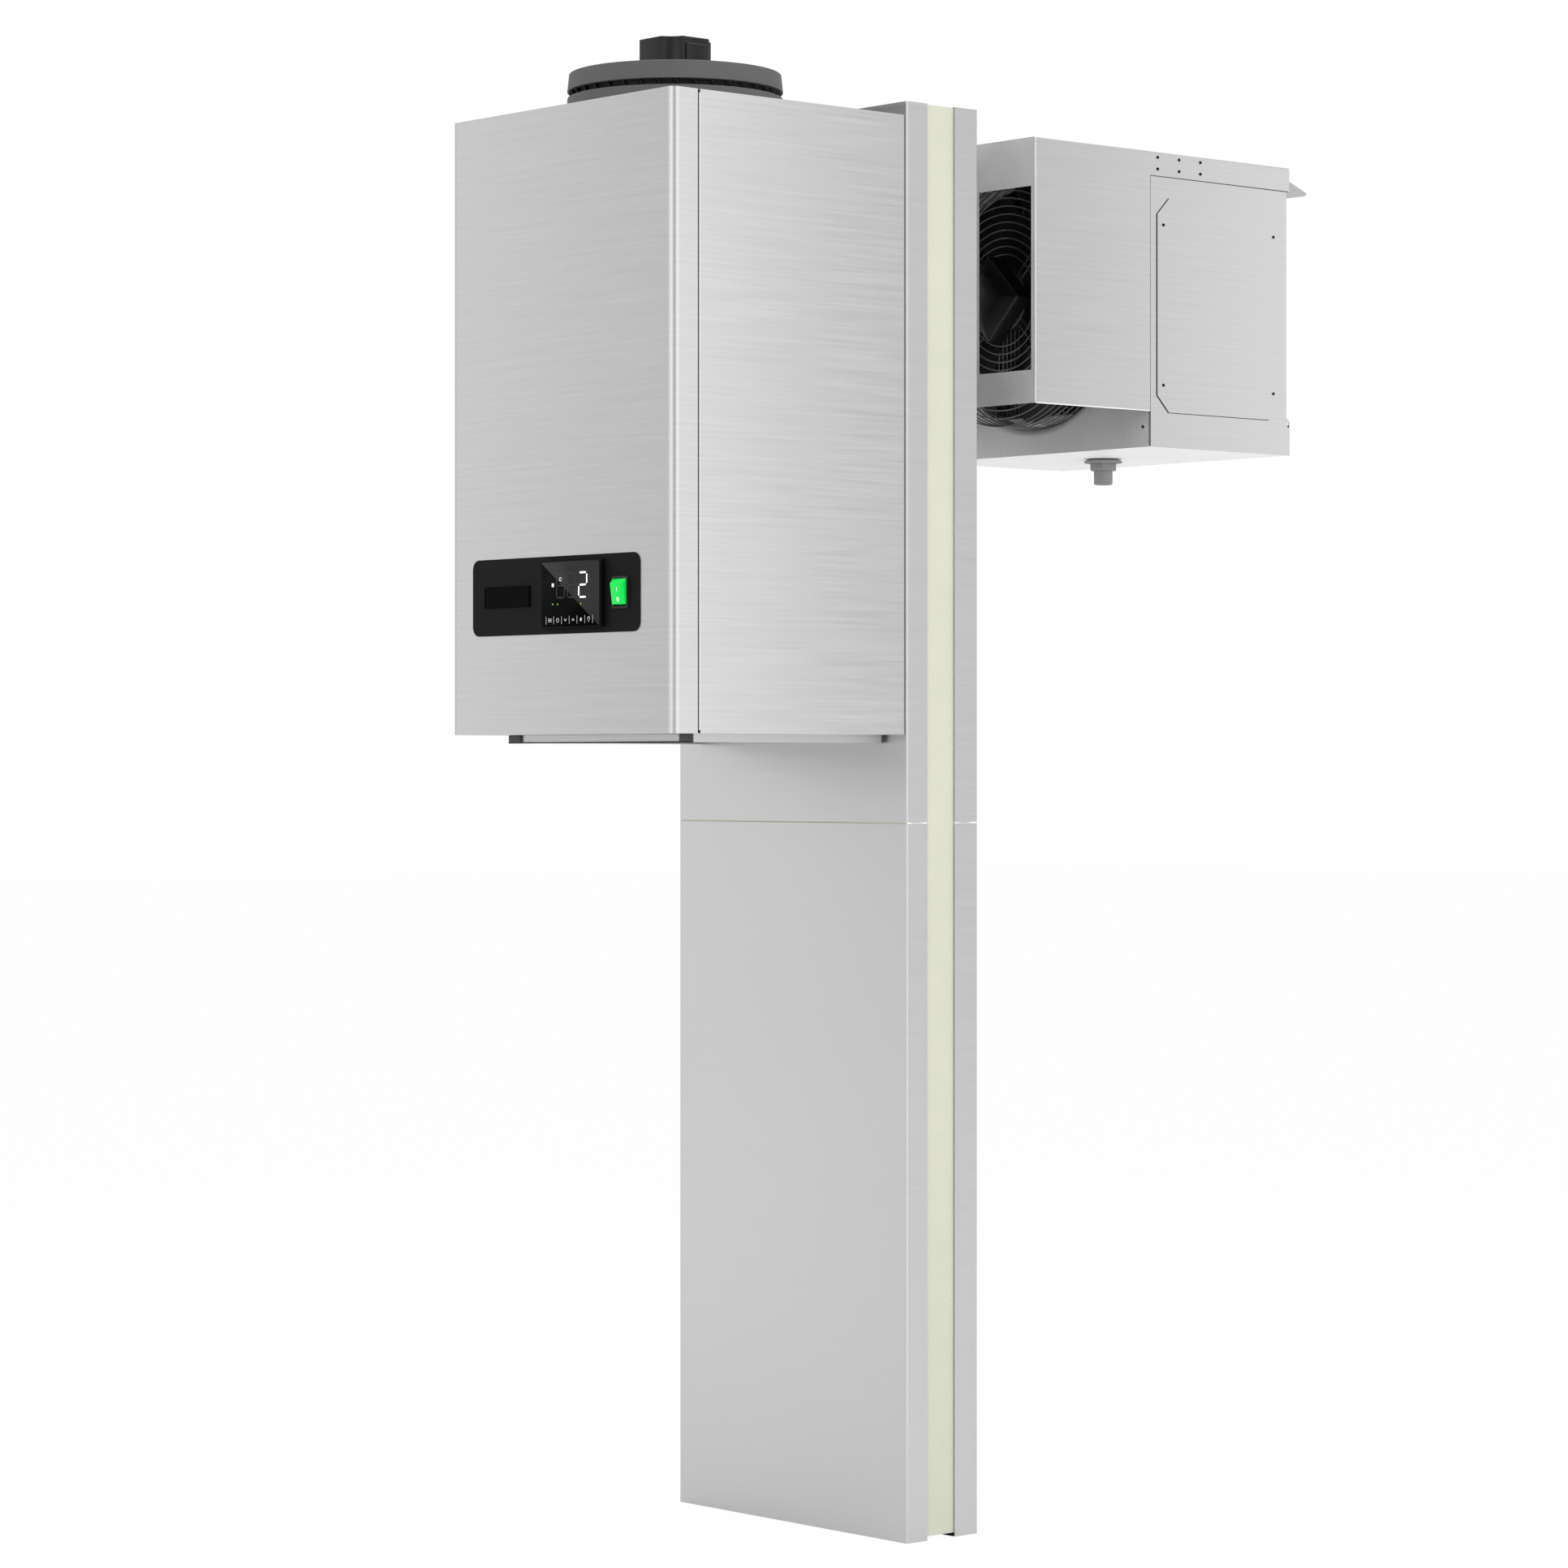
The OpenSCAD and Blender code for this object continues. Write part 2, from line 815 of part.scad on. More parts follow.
module housing_screws() {
    color(black)
        both_sides() {
            for (y = [cover_back + fold_w, box_mid, wall_out - 2 * fold_w])
                translate([inner_half - fold_w / 2, y, box_top]) screw_head();
        }
}

module fan_collar() {
    top_r = collar_r - ring_draft;
    color(grey)
        translate([0, fan_y, box_top])
            rotate_extrude($fn = 96)
                polygon([
                    [collar_r, 0], [top_r, collar_h], [throat_r + ring_wall / 2, collar_h],
                    [throat_r + ring_wall / 2, collar_h + slot_h], [throat_r, collar_h + slot_h],
                    [throat_r, -throat_depth],
                    [throat_r + ring_wall, -throat_depth], [throat_r + ring_wall, collar_h - ring_wall],
                    [top_r - ring_wall, collar_h - ring_wall], [collar_r - ring_wall, 0]
                ]);
}

module fan_ring() {
    low_r = ring_r + ring_draft;
    rib_r = throat_r + ring_wall + rib_l / 2;
    color(grey) {
        translate([0, fan_y, ring_z])
            rotate_extrude($fn = 96)
                polygon([
                    [low_r, 0], [ring_r, ring_h], [throat_r, ring_h], [throat_r, ring_h - ring_roof],
                    [ring_r - ring_wall, ring_h - ring_roof], [low_r - ring_wall, ring_wall],
                    [throat_r, ring_wall], [throat_r, 0]
                ]);
        for (i = [0:rib_count - 1])
            translate([0, fan_y, slot_z])
                rotate([0, 0, i * 360 / rib_count])
                    translate([rib_r, 0, 0]) rotate([0, 0, rib_slant])
                        translate([-rib_l / 2, -rib_w / 2, 0]) cube([rib_l, rib_w, slot_h + over]);
    }
}

// A flat round grille on Z: rings from r0 to r1, with double spokes below them
module grille(r0, r1, seat_r, turn) {
    rings = floor((r1 - r0) / ring_pitch);
    for (i = [0:rings])
        rotate_extrude($fn = 96) translate([r1 - i * ring_pitch, 0]) square([wire, wire]);
    for (k = [0:3], s = [-1, 1])
        rotate([0, 0, turn + k * 90])
            translate([r0 - ring_pitch, s * spoke_gap / 2 - wire / 2, -wire / 2])
                cube([seat_r - r0 + ring_pitch, wire, wire]);
    translate([0, 0, -wire / 2])
        difference() {
            cylinder(r = r0 - ring_pitch + wire, h = 1.5 * wire);
            translate([0, 0, -over]) cylinder(r = shaft_r + 2 * gap, h = 2 * wire + 2 * over);
        }
}

module condenser_fan_guard() {
    color(black)
        translate([0, fan_y, roof_guard_z])
            grille(motor_w / 2 + ring_pitch / 2, throat_r - 2 * wire, throat_r + ring_wall, 45);
}

// The roof motor: a square body with hollow corners, standing on its guard
module condenser_fan_motor() {
    h = roof_motor_h + ring_top - roof_guard_z - wire;
    color(black)
        translate([0, fan_y, roof_guard_z + wire])
            difference() {
                linear_extrude(h)
                    difference() {
                        square([motor_w, motor_w], center = true);
                        for (x = [-1, 1], y = [-1, 1])
                            translate([x * motor_w / 2, y * motor_w / 2]) circle(r = motor_flute_r);
                    }
                translate([0, 0, -over]) cylinder(r = shaft_r + shaft_gap, h = h / 2 + over);
            }
}

// Outline of a blade at radius r, as points down its upper face and back along its lower face
function blade_section(r, lead, height) = concat(
    [for (j = [0:blade_steps]) let (u = j / blade_steps - 0.5, a = lead + u * blade_chord)
        [r * cos(a), r * sin(a), u * height + blade_half_t]],
    [for (j = [blade_steps:-1:0]) let (u = j / blade_steps - 0.5, a = lead + u * blade_chord)
        [r * cos(a), r * sin(a), u * height - blade_half_t]]);

// A swept blade lofted from the hub to the tip
module blade(tip_r, root_h, tip_h) {
    ring = 2 * (blade_steps + 1);
    last = blade_stations * ring;
    points = [for (i = [0:blade_stations]) let (s = i / blade_stations)
        each blade_section(
            blade_root + s * (tip_r - blade_root), blade_sweep * s, root_h + s * (tip_h - root_h))];
    root = [for (j = [0:blade_steps - 1])
        each [[j, ring - 1 - j, j + 1], [j + 1, ring - 1 - j, ring - 2 - j]]];
    tip = [for (f = root) [f[0] + last, f[2] + last, f[1] + last]];
    skin = [for (i = [0:blade_stations - 1], j = [0:ring - 1])
        let (a = i * ring + j, b = i * ring + (j + 1) % ring)
        each [[a, b, a + ring], [b, b + ring, a + ring]]];
    polyhedron(points, concat(root, tip, skin));
}

// An impeller on Z: hub, blades and a shaft that rises into the motor
module impeller(tip_r, root_h, tip_h, shaft_l) {
    cylinder(r = hub_r, h = hub_h);
    cylinder(r = shaft_r, h = hub_h + shaft_l);
    for (k = [0:blade_count - 1])
        rotate([0, 0, k * 360 / blade_count])
            translate([0, 0, hub_h / 2]) blade(tip_r, root_h, tip_h);
}

module condenser_impeller() {
    shaft_l = roof_guard_z + wire - roof_hub_z - hub_h + roof_motor_h / 3;
    color(black)
        translate([0, fan_y, roof_hub_z]) impeller(roof_tip_r, roof_blade_h, roof_blade_tip_h, shaft_l);
}

module control_plate() {
    color(black)
        difference() {
            translate([plate_x, 0, controls]) stand(plate_front, plate_t)
                round_rect(plate_w, plate_h, plate_r);
            control_cuts();
        }
}

module blank_badge() {
    r = badge_t;
    color([0.14, 0.14, 0.15])
        translate([badge_x, 0, controls]) stand(plate_front - badge_t, badge_t)
            round_rect(badge_w, badge_h, r);
}

module controller_housing() {
    w = controller_w - 2 * bezel_edge;
    h = controller_h - 2 * bezel_edge;
    color(black) {
        translate([controller_x, 0, controls])
            stand(plate_front - controller_proud, controller_proud)
                round_rect(controller_w, controller_h, glass_edge);
        block([controller_x - w / 2, plate_front - over, controls - h / 2],
              [controller_x + w / 2, interior_front + controller_deep, controls + h / 2]);
    }
}

module controller_glass() {
    color([0.12, 0.12, 0.13])
        translate([controller_x, 0, controls])
            stand(plate_front - controller_proud - glass_t, glass_t)
                round_rect(controller_w - 2 * glass_edge, controller_h - 2 * glass_edge, glass_edge);
}

module switch_frame() {
    face = plate_front - switch_proud;
    well_w = rocker_w + 2 * gap;
    well_h = 2 * (rocker_r + gap);
    body_w = well_w + 2 * switch_wall - 2 * gap;
    body_h = well_h + switch_wall - 2 * gap;
    color(black)
        translate([switch_x, 0, controls])
            difference() {
                union() {
                    stand(face, switch_proud) round_rect(switch_w, switch_h, switch_wall);
                    stand(face, switch_proud + plate_t + sheet_t + switch_deep)
                        square([body_w, body_h], center = true);
                }
                stand(face - over, pivot_depth + rocker_r + over) square([well_w, well_h], center = true);
                translate([-rocker_w / 2 - rocker_pin_l - 2 * gap, rocker_y, 0]) rotate([0, 90, 0])
                    cylinder(r = rocker_pin_r + shaft_gap,
                             h = rocker_w + 2 * rocker_pin_l + 4 * gap, $fn = 32);
            }
}

// The rocker's side view: depth along X, height along Y, with the pivot at zero
module rocker_outline() {
    rise = rocker_r * tan(rocker_tilt);
    intersection() {
        circle(r = rocker_r);
        polygon([
            [-rocker_crown, 0], [-rocker_crown - rise, rocker_r], [rocker_back / 2, rocker_r],
            [rocker_back, rocker_heel], [rocker_back, -rocker_heel],
            [rocker_back / 2, -rocker_r], [-rocker_crown - rise, -rocker_r]
        ]);
    }
}

module power_rocker() {
    color([0.04, 0.8, 0.28])
        translate([switch_x, rocker_y, controls])
            rotate([rocker_tilt, 0, 0]) {
                along_x(-rocker_w / 2, rocker_w / 2) rocker_outline();
                rotate([0, 90, 0])
                    cylinder(r = rocker_pin_r, h = rocker_w + 2 * rocker_pin_l, center = true, $fn = 32);
            }
}

// Where the power cord's gland sits: on the left side panel, pointing out
module gland_at() {
    translate([-box_half, wall_out - gland_back, box_z + gland_lift]) rotate([0, -90, 0]) children();
}

module cable_gland() {
    hex_h = 6;
    nut_r = 10;
    nut_h = 16;
    thread_l = 14;
    lock_h = 5;
    color(black)
        gland_at()
            difference() {
                union() {
                    hex(gland_hex, hex_h);
                    cylinder(r = nut_r, h = hex_h + nut_h);
                    translate([0, 0, -thread_l]) cylinder(r = gland_r, h = thread_l + over);
                    translate([0, 0, -sheet_t - gap - lock_h]) hex(gland_hex, lock_h);
                }
                translate([0, 0, -thread_l - over])
                    cylinder(r = cord_r, h = thread_l + hex_h + nut_h + 2 * over);
            }
}

module electrical_box() {
    color("silver")
        along_x(-ebox_half, ebox_half) {
            translate([interior_front, ebox_z]) square([ebox_back - interior_front, ebox_t]);
            translate([ebox_back - ebox_t, ebox_z]) square([ebox_t, shelf_z - ebox_z]);
            translate([shelf_y0, shelf_z - ebox_t]) square([ebox_back - shelf_y0, ebox_t]);
        }
}

module terminal_block() {
    ways = 8;
    way_w = 10;
    depth = 28;
    height = 24;
    slot = 6;
    x0 = -ebox_half + fold_w;
    y0 = ebox_back - 2 * ebox_t - depth;
    color([0.85, 0.86, 0.86])
        difference() {
            block([x0, y0, ebox_z + ebox_t], [x0 + ways * way_w, y0 + depth, ebox_z + ebox_t + height]);
            for (i = [0:ways - 1])
                translate([x0 + i * way_w + (way_w - slot) / 2, y0 - over, ebox_z + ebox_t + height - slot])
                    cube([slot, depth + 2 * over, slot + over]);
        }
}

module compressor_shelf() {
    vents = 3;
    vent_w = 16;
    color("silver")
        difference() {
            union() {
                block([-inner_half, shelf_y0, shelf_z], [inner_half, shelf_y1, shelf_z + shelf_t]);
                both_sides()
                    block([inner_half - shelf_t, cover_back + 2 * fold_r, shelf_z - shelf_fold],
                          [inner_half, shelf_y1, shelf_z + shelf_t]);
            }
            for (i = [0:vents - 1], s = [-1, 1])
                translate([s * (inner_half - 2 * fold_w) - vent_w / 2,
                           shelf_y0 + 3 * fold_w + i * 5 * fold_w, shelf_z - over])
                    cube([vent_w, 4 * fold_w, shelf_t + 2 * over]);
            fold_clearance(shelf_z - shelf_fold, shelf_z + shelf_t);
        }
}

module compressor_shell() {
    body = shell_h - shell_dome;
    color(black)
        translate([compressor_x, compressor_y, shell_z]) {
            cylinder(r = shell_r, h = body);
            translate([0, 0, body])
                rotate_extrude()
                    intersection() {
                        square([shell_r, shell_dome]);
                        scale([1, shell_dome / shell_r]) circle(r = shell_r);
                    }
            translate([shell_r / 2, 0, 0]) cylinder(r = stub_r, h = shell_h + stub_l);
            translate([0, 0, body / 2]) rotate([-90, 0, 0]) cylinder(r = stub_r, h = shell_r + stub_l);
            translate([-shell_r - shell_dome / 4, -shell_dome / 2, body / 2])
                cube([shell_dome, shell_dome, shell_dome]);
        }
}

module compressor_feet() {
    color(black)
        translate([compressor_x, compressor_y, shell_z - feet_t])
            difference() {
                translate([-mount_half - mount_r, -mount_half - mount_r, 0])
                    cube([2 * (mount_half + mount_r), 2 * (mount_half + mount_r), feet_t]);
                for (x = [-1, 1], y = [-1, 1])
                    translate([x * mount_half, y * mount_half, -over])
                        cylinder(r = mount_r / 2 + gap, h = feet_t + 2 * over);
            }
}

module rubber_mounts() {
    color(black)
        for (x = [-1, 1], y = [-1, 1])
            translate([compressor_x + x * mount_half, compressor_y + y * mount_half, floor_z]) {
                cylinder(r = mount_r, h = mount_h);
                cylinder(r = mount_r / 2, h = mount_h + 2 * feet_t);
            }
}

module liquid_receiver() {
    dome = receiver_r / 2;
    color(black)
        translate([receiver_x, receiver_y, floor_z]) {
            cylinder(r = receiver_r, h = receiver_h - dome);
            translate([0, 0, receiver_h - dome])
                rotate_extrude()
                    intersection() {
                        square([receiver_r, dome]);
                        scale([1, dome / receiver_r]) circle(r = receiver_r);
                    }
            cylinder(r = stub_r, h = receiver_h + stub_l);
        }
}

module filter_drier() {
    neck_l = 12;
    color(copper)
        translate([drier_x, shelf_y0 + drier_front, floor_z + drier_r + gap])
            rotate([-90, 0, 0]) {
                cylinder(r = drier_r, h = drier_l);
                translate([0, 0, -neck_l]) cylinder(r = liquid_r, h = drier_l + 2 * neck_l);
            }
}

function unit_vector(v) = v / norm(v);

// A pipe through right-angled corners, straight between them and bent at each
module pipe(path, r) {
    last = len(path) - 1;
    for (i = [0:last - 1]) {
        dir = unit_vector(path[i + 1] - path[i]);
        a = path[i] + (i == 0 ? 0 : pipe_bend) * dir;
        b = path[i + 1] - (i == last - 1 ? 0 : pipe_bend) * dir;
        translate(a) turn_to(dir) cylinder(r = r, h = norm(b - a));
    }
    for (i = [1:last - 1]) {
        u = unit_vector(path[i] - path[i - 1]);
        v = unit_vector(path[i + 1] - path[i]);
        w = cross(-v, u);
        c = path[i] - pipe_bend * u + pipe_bend * v;
        multmatrix([
            [-v[0], u[0], w[0], c[0]], [-v[1], u[1], w[1], c[1]], [-v[2], u[2], w[2], c[2]], [0, 0, 0, 1]
        ])
            rotate_extrude(angle = 90) translate([pipe_bend, 0]) circle(r = r);
    }
}

// Turns Z to a direction along one of the axes
module turn_to(d) {
    upright = [d[2] > 0 ? 0 : 180, 0, 0];
    rotate(d[0] != 0 ? [0, 90 * sign(d[0]), 0] : d[1] != 0 ? [-90 * sign(d[1]), 0, 0] : upright)
        children();
}

module refrigerant_pipes() {
    top_z = shell_z + shell_h + stub_l;
    cond_side = cond_half + end_t;
    cond_mid = cond_z0 + cond_h / 2;
    receiver_top = floor_z + receiver_h + stub_l;
    coil_z = pipe_z;
    end_y = evap_fin_y0 + tube_pitch;
    suction_z = shell_z + (shell_h - shell_dome) / 2;
    suction_y = compressor_y + shell_r + stub_l;
    color(copper) {
        pipe([
            [compressor_x + shell_r / 2, compressor_y, top_z],
            [compressor_x + shell_r / 2, compressor_y, cond_z0 - 3 * pipe_bend],
            [-cond_side - 1.6 * pipe_bend, compressor_y, cond_z0 - 3 * pipe_bend],
            [-cond_side - 1.6 * pipe_bend, compressor_y, cond_mid],
            [-cond_side, compressor_y, cond_mid]
        ], liquid_r);
        pipe([
            [receiver_x, receiver_y, receiver_top],
            [receiver_x, receiver_y, receiver_top + 2 * pipe_bend],
            [receiver_x, pipe_y, receiver_top + 2 * pipe_bend],
            [receiver_x, pipe_y, pipe_z],
            [pipe_x, pipe_y, pipe_z],
            [pipe_x, pipe_turn_y, pipe_z],
            [pipe_side, pipe_turn_y, coil_z],
            [pipe_side, end_y, coil_z],
            [evap_fin_half + end_t, end_y, coil_z]
        ], liquid_r);
        pipe([
            [compressor_x, suction_y, suction_z],
            [compressor_x, pipe_y, suction_z],
            [compressor_x, pipe_y, pipe_z - 2 * pipe_bend - 2 * gap],
            [-pipe_x - 3 * pipe_bend, pipe_y, pipe_z - 2 * pipe_bend - 2 * gap],
            [-pipe_x - 3 * pipe_bend, pipe_y, pipe_z],
            [-pipe_x, pipe_y, pipe_z],
            [-pipe_x, pipe_turn_y, pipe_z],
            [-pipe_side, pipe_turn_y, coil_z],
            [-pipe_side, end_y, coil_z],
            [-evap_fin_half - end_t, end_y, coil_z]
        ], suction_r);
    }
}

// Outline of a fin block: a bar 2 * half long and d deep, with open slots between the fins on both faces
module fin_comb(half, d) {
    pitch = 2 * half / fin_count;
    slot = pitch * fin_slot_share;
    polygon(concat(
        [for (i = [0:fin_count - 1]) let (x = -half + i * pitch) each [
            [x, 0], [x + pitch - slot, 0], [x + pitch - slot, fin_slot_d], [x + pitch, fin_slot_d]]],
        [for (i = [fin_count - 1:-1:0]) let (x = -half + i * pitch) each [
            [x + pitch, d - fin_slot_d], [x + pitch - slot, d - fin_slot_d], [x + pitch - slot, d], [x, d]]]
    ));
}

module condenser_fins() {
    color("silver")
        along_y(cond_y0, cond_y1) translate([0, cond_z0]) fin_comb(cond_half, cond_h);
}

module evaporator_fins() {
    color("silver")
        translate([0, evap_fin_y0, evap_fin_z0])
            linear_extrude(evap_fin_z1 - evap_fin_z0) fin_comb(evap_fin_half, evap_fin_y1 - evap_fin_y0);
}

// Return bends in rows beyond both end plates of a coil
module return_bends(x, lo, hi, bend_axis) {
    r = tube_pitch / 2;
    rows = floor((hi[0] - lo[0]) / tube_pitch);
    cols = floor((hi[1] - lo[1]) / (2 * tube_pitch));
    both_sides()
        for (i = [0:rows - 1], j = [0:cols - 1]) {
            across = (lo[0] + hi[0]) / 2 + (i - (rows - 1) / 2) * tube_pitch;
            along = (lo[1] + hi[1]) / 2 + (j - (cols - 1) / 2) * 2 * tube_pitch;
            place = bend_axis == "z" ? [x, across, along] : [x, along, across];
            translate(place)
                rotate(bend_axis == "z" ? [90, 0, 0] : [0, 0, 0])
                    rotate([0, 0, -90]) rotate_extrude(angle = 180, $fn = 32) translate([r, 0])
                        circle(r = tube_r, $fn = 24);
        }
}

module condenser_tubes() {
    color(copper)
        return_bends(cond_half + end_t, [cond_z0, cond_y0],
                     [cond_z0 + cond_h, compressor_y - 2 * pipe_bend], "y");
}

module evaporator_tubes() {
    color(copper)
        return_bends(evap_fin_half + end_t, [evap_fin_y0, evap_fin_z0],
                     [evap_fin_y1, pipe_z - 2 * pipe_bend], "z");
}

module condenser_end_plates() {
    color("silver")
        both_sides() {
            block([cond_half, cond_y0, cond_z0], [cond_half + end_t, cond_y1, cond_z0 + cond_h]);
            for (y = [cond_y0 + 3 * fold_w, cond_y1 - 2 * fold_w])
                block([cond_half, y, cond_z0 - end_t], [inner_half, y + 2 * fold_w, cond_z0]);
        }
}

module evaporator_end_plates() {
    color("silver")
        both_sides() {
            block([evap_fin_half, evap_fin_y0, evap_fin_z0],
                  [evap_fin_half + end_t, evap_fin_y1, evap_fin_z1]);
            block([evap_fin_half, evap_fin_y0, evap_fin_z1 - end_t],
                  [coil_half - fold_w, evap_fin_y1, evap_fin_z1]);
        }
}

// The hood: one sheet folded over the whole evaporator, cut back to a strip beside the coil
module evaporator_hood() {
    color("silver") {
        difference() {
            along_y(hood_y, lip_y)
                translate([0, evap_top]) mirror([0, 1]) u_profile(evap_w, hood_h, skin_r, evap_t);
            block([-evap_half - over, plate_y, hood_z - over], [evap_half + over, lip_y + over, strip_z]);
        }
        along_y(lip_y - evap_t, lip_y)
            intersection() {
                translate([0, evap_top]) mirror([0, 1]) u_filled(evap_w, hood_h, skin_r);
                translate([-evap_half, evap_top - lip_h]) square([evap_w, lip_h]);
            }
    }
}

module hood_back_plate() {
    color("silver")
        difference() {
            along_y(hood_y, hood_y + evap_t)
                translate([0, evap_top - evap_t]) mirror([0, 1])
                    u_filled(2 * panel_half, hood_h - evap_t, skin_r - evap_t);
            both_sides() window_cut();
            for (side = [-1, 1])
                rod_y(side * pipe_x, pipe_z, hood_y - over, hood_y + evap_t + over, suction_r + gap);
        }
}

module window_cut() {
    block([window_x0, hood_y - over, window_z0], [window_x1, hood_y + evap_t + over, window_z1]);
}

module fan_plate() {
    color(dark_steel) {
        difference() {
            block([-coil_half, plate_y, evap_z], [coil_half, plate_y + plate_t2, evap_top - evap_t]);
            rod_y(0, cold_fan_z, plate_y - over, plate_y + plate_t2 + over, bell_r);
            for (side = [-1, 1])
                rod_y(side * pipe_side, pipe_z, plate_y - over, plate_y + plate_t2 + over, suction_r + gap);
            both_sides()
                block([coil_half - plate_slit, plate_y - over, evap_z - over],
                      [coil_half + over, plate_y + plate_t2 + over, hood_z]);
        }
        translate([0, plate_y, cold_fan_z])
            rotate([-90, 0, 0])
                rotate_extrude($fn = 96)
                    translate([bell_r, bell_lip_r])
                        rotate(180)
                            intersection() {
                                difference() {
                                    circle(r = bell_lip_r);
                                    circle(r = bell_lip_r - plate_t2);
                                }
                                square([bell_lip_r, bell_lip_r]);
                            }
    }
}

module evaporator_fan_guard() {
    r0 = motor_w / 2 + ring_pitch;
    side_rings = 5;
    lug_w = 14;
    lug_l = 20;
    color(black)
        translate([0, guard_y, cold_fan_z])
            rotate([-90, 0, 0]) {
                mirror([0, 0, 1]) translate([0, 0, -wire]) grille(r0, guard_r - wire, guard_r, 45);
                for (k = [0:side_rings])
                    translate([0, 0, k * (guard_stand - wire) / side_rings])
                        rotate_extrude($fn = 96) translate([guard_r - wire, 0]) square([wire, wire]);
                for (k = [0:3], s = [-1, 1])
                    rotate([0, 0, 45 + k * 90])
                        translate([guard_r - wire / 2, s * spoke_gap / 2 - wire / 2, 0])
                            cube([wire, wire, guard_stand]);
                for (k = [0:3])
                    rotate([0, 0, 45 + k * 90])
                        translate([guard_r - wire, -lug_w / 2, guard_stand - wire])
                            cube([bell_r - guard_r + lug_l, lug_w, wire]);
            }
}

// The evaporator motor: a square body on its corner, with a shallow pyramid face
module evaporator_fan_motor() {
    taper = cold_motor_h / 3;
    face_w = motor_w - taper;
    color(black)
        translate([0, guard_y, cold_fan_z])
            rotate([90, 45, 0])
                difference() {
                    union() {
                        linear_extrude(cold_motor_h - taper) square([motor_w, motor_w], center = true);
                        hull() {
                            translate([0, 0, cold_motor_h - taper - over]) linear_extrude(over)
                                square([motor_w, motor_w], center = true);
                            translate([0, 0, cold_motor_h - over]) linear_extrude(over)
                                square([face_w, face_w], center = true);
                        }
                    }
                    translate([0, 0, -over]) cylinder(r = shaft_r + shaft_gap, h = cold_motor_h / 2 + over);
                }
}

module evaporator_impeller() {
    shaft_l = cold_hub_y - guard_y + cold_motor_h / 3;
    color(black)
        translate([0, cold_hub_y + hub_h, cold_fan_z])
            rotate([90, 0, 0]) impeller(cold_tip_r, cold_blade_h, cold_blade_tip_h, shaft_l);
}

// The right side panel of the coil section, with a round shoulder and a slot for the tray's pin
module coil_side_panel() {
    slot_r = pivot_r + pivot_gap;
    along_x(coil_half, panel_half)
        difference() {
            union() {
                translate([plate_y, evap_z]) square([coil_d, evap_h - evap_t - skin_r]);
                translate([plate_y, evap_z]) square([coil_d + tray_lip, shoulder_z - evap_z]);
                translate([coil_end, shoulder_z]) circle(r = tray_lip);
            }
            translate([pivot_y, pivot_z]) circle(r = slot_r);
            translate([pivot_y, pivot_z + slot_run]) circle(r = slot_r);
            translate([pivot_y - slot_r, pivot_z]) square([2 * slot_r, slot_run]);
        }
}

module coil_side_panel_right() {
    color("silver") coil_side_panel();
}

module coil_side_panel_left() {
    color("silver") mirror([1, 0, 0]) coil_side_panel();
}

module access_covers() {
    color("silver")
        both_sides()
            along_x(panel_half, panel_half + evap_t)
                polygon([
                    [cover_y0 + cover_cut, cover_z0], [cover_y1 - cover_cut, cover_z0],
                    [cover_y1, cover_z0 + cover_cut], [cover_y1, cover_z1 - cover_cut],
                    [cover_y1 - cover_cut, cover_z1], [cover_y0 + cover_cut, cover_z1],
                    [cover_y0, cover_z1 - cover_cut], [cover_y0, cover_z0 + cover_cut]
                ]);
}

// The deflector: a flange behind the roof's lip, and a blade that slopes out below it
module air_deflector() {
    z = evap_top - lip_h - gap;
    half = coil_half - gap;
    color("silver") {
        translate([0, lip_y - 2 * evap_t, z])
            rotate([-deflector_slope, 0, 0])
                translate([0, 0, -evap_t]) linear_extrude(evap_t)
                    deflector_outline(half, deflector_l + 2 * evap_t);
        block([-half, lip_y - 2 * evap_t, z - evap_t], [half, lip_y - evap_t, evap_top - evap_t - skin_r]);
    }
}

// The blade seen from above: square at the lip, round at its free corners
module deflector_outline(half, length) {
    translate([-half, 0]) square([2 * half, length - deflector_r]);
    translate([-half + deflector_r, 0]) square([2 * half - 2 * deflector_r, length]);
    for (side = [-1, 1])
        translate([side * (half - deflector_r), length - deflector_r]) circle(r = deflector_r);
}

module outlet_grille() {
    z0 = tray_z1 + grille_lift;
    z1 = evap_top - evap_t - skin_r;
    half = coil_half - gap;
    pitch = (z1 - z0 - 2 * grille_bar) / louvre_count;
    color("silver") {
        difference() {
            block([-half, grille_y, z0], [half, grille_y + grille_t, z1]);
            block([-half + grille_bar, grille_y - over, z0 + grille_bar],
                  [half - grille_bar, grille_y + grille_t + over, z1 - grille_bar]);
        }
        for (i = [1:louvre_count - 1])
            translate([-half + grille_bar / 2, grille_y, z0 + grille_bar + i * pitch - louvre_t / 2])
                cube([2 * half - grille_bar, grille_t, louvre_t]);
        for (x = [-half / 2, 0, half / 2])
            block([x - louvre_t, grille_y, z0 + grille_bar / 2],
                  [x + louvre_t, grille_y + grille_t, z1 - grille_bar / 2]);
    }
}

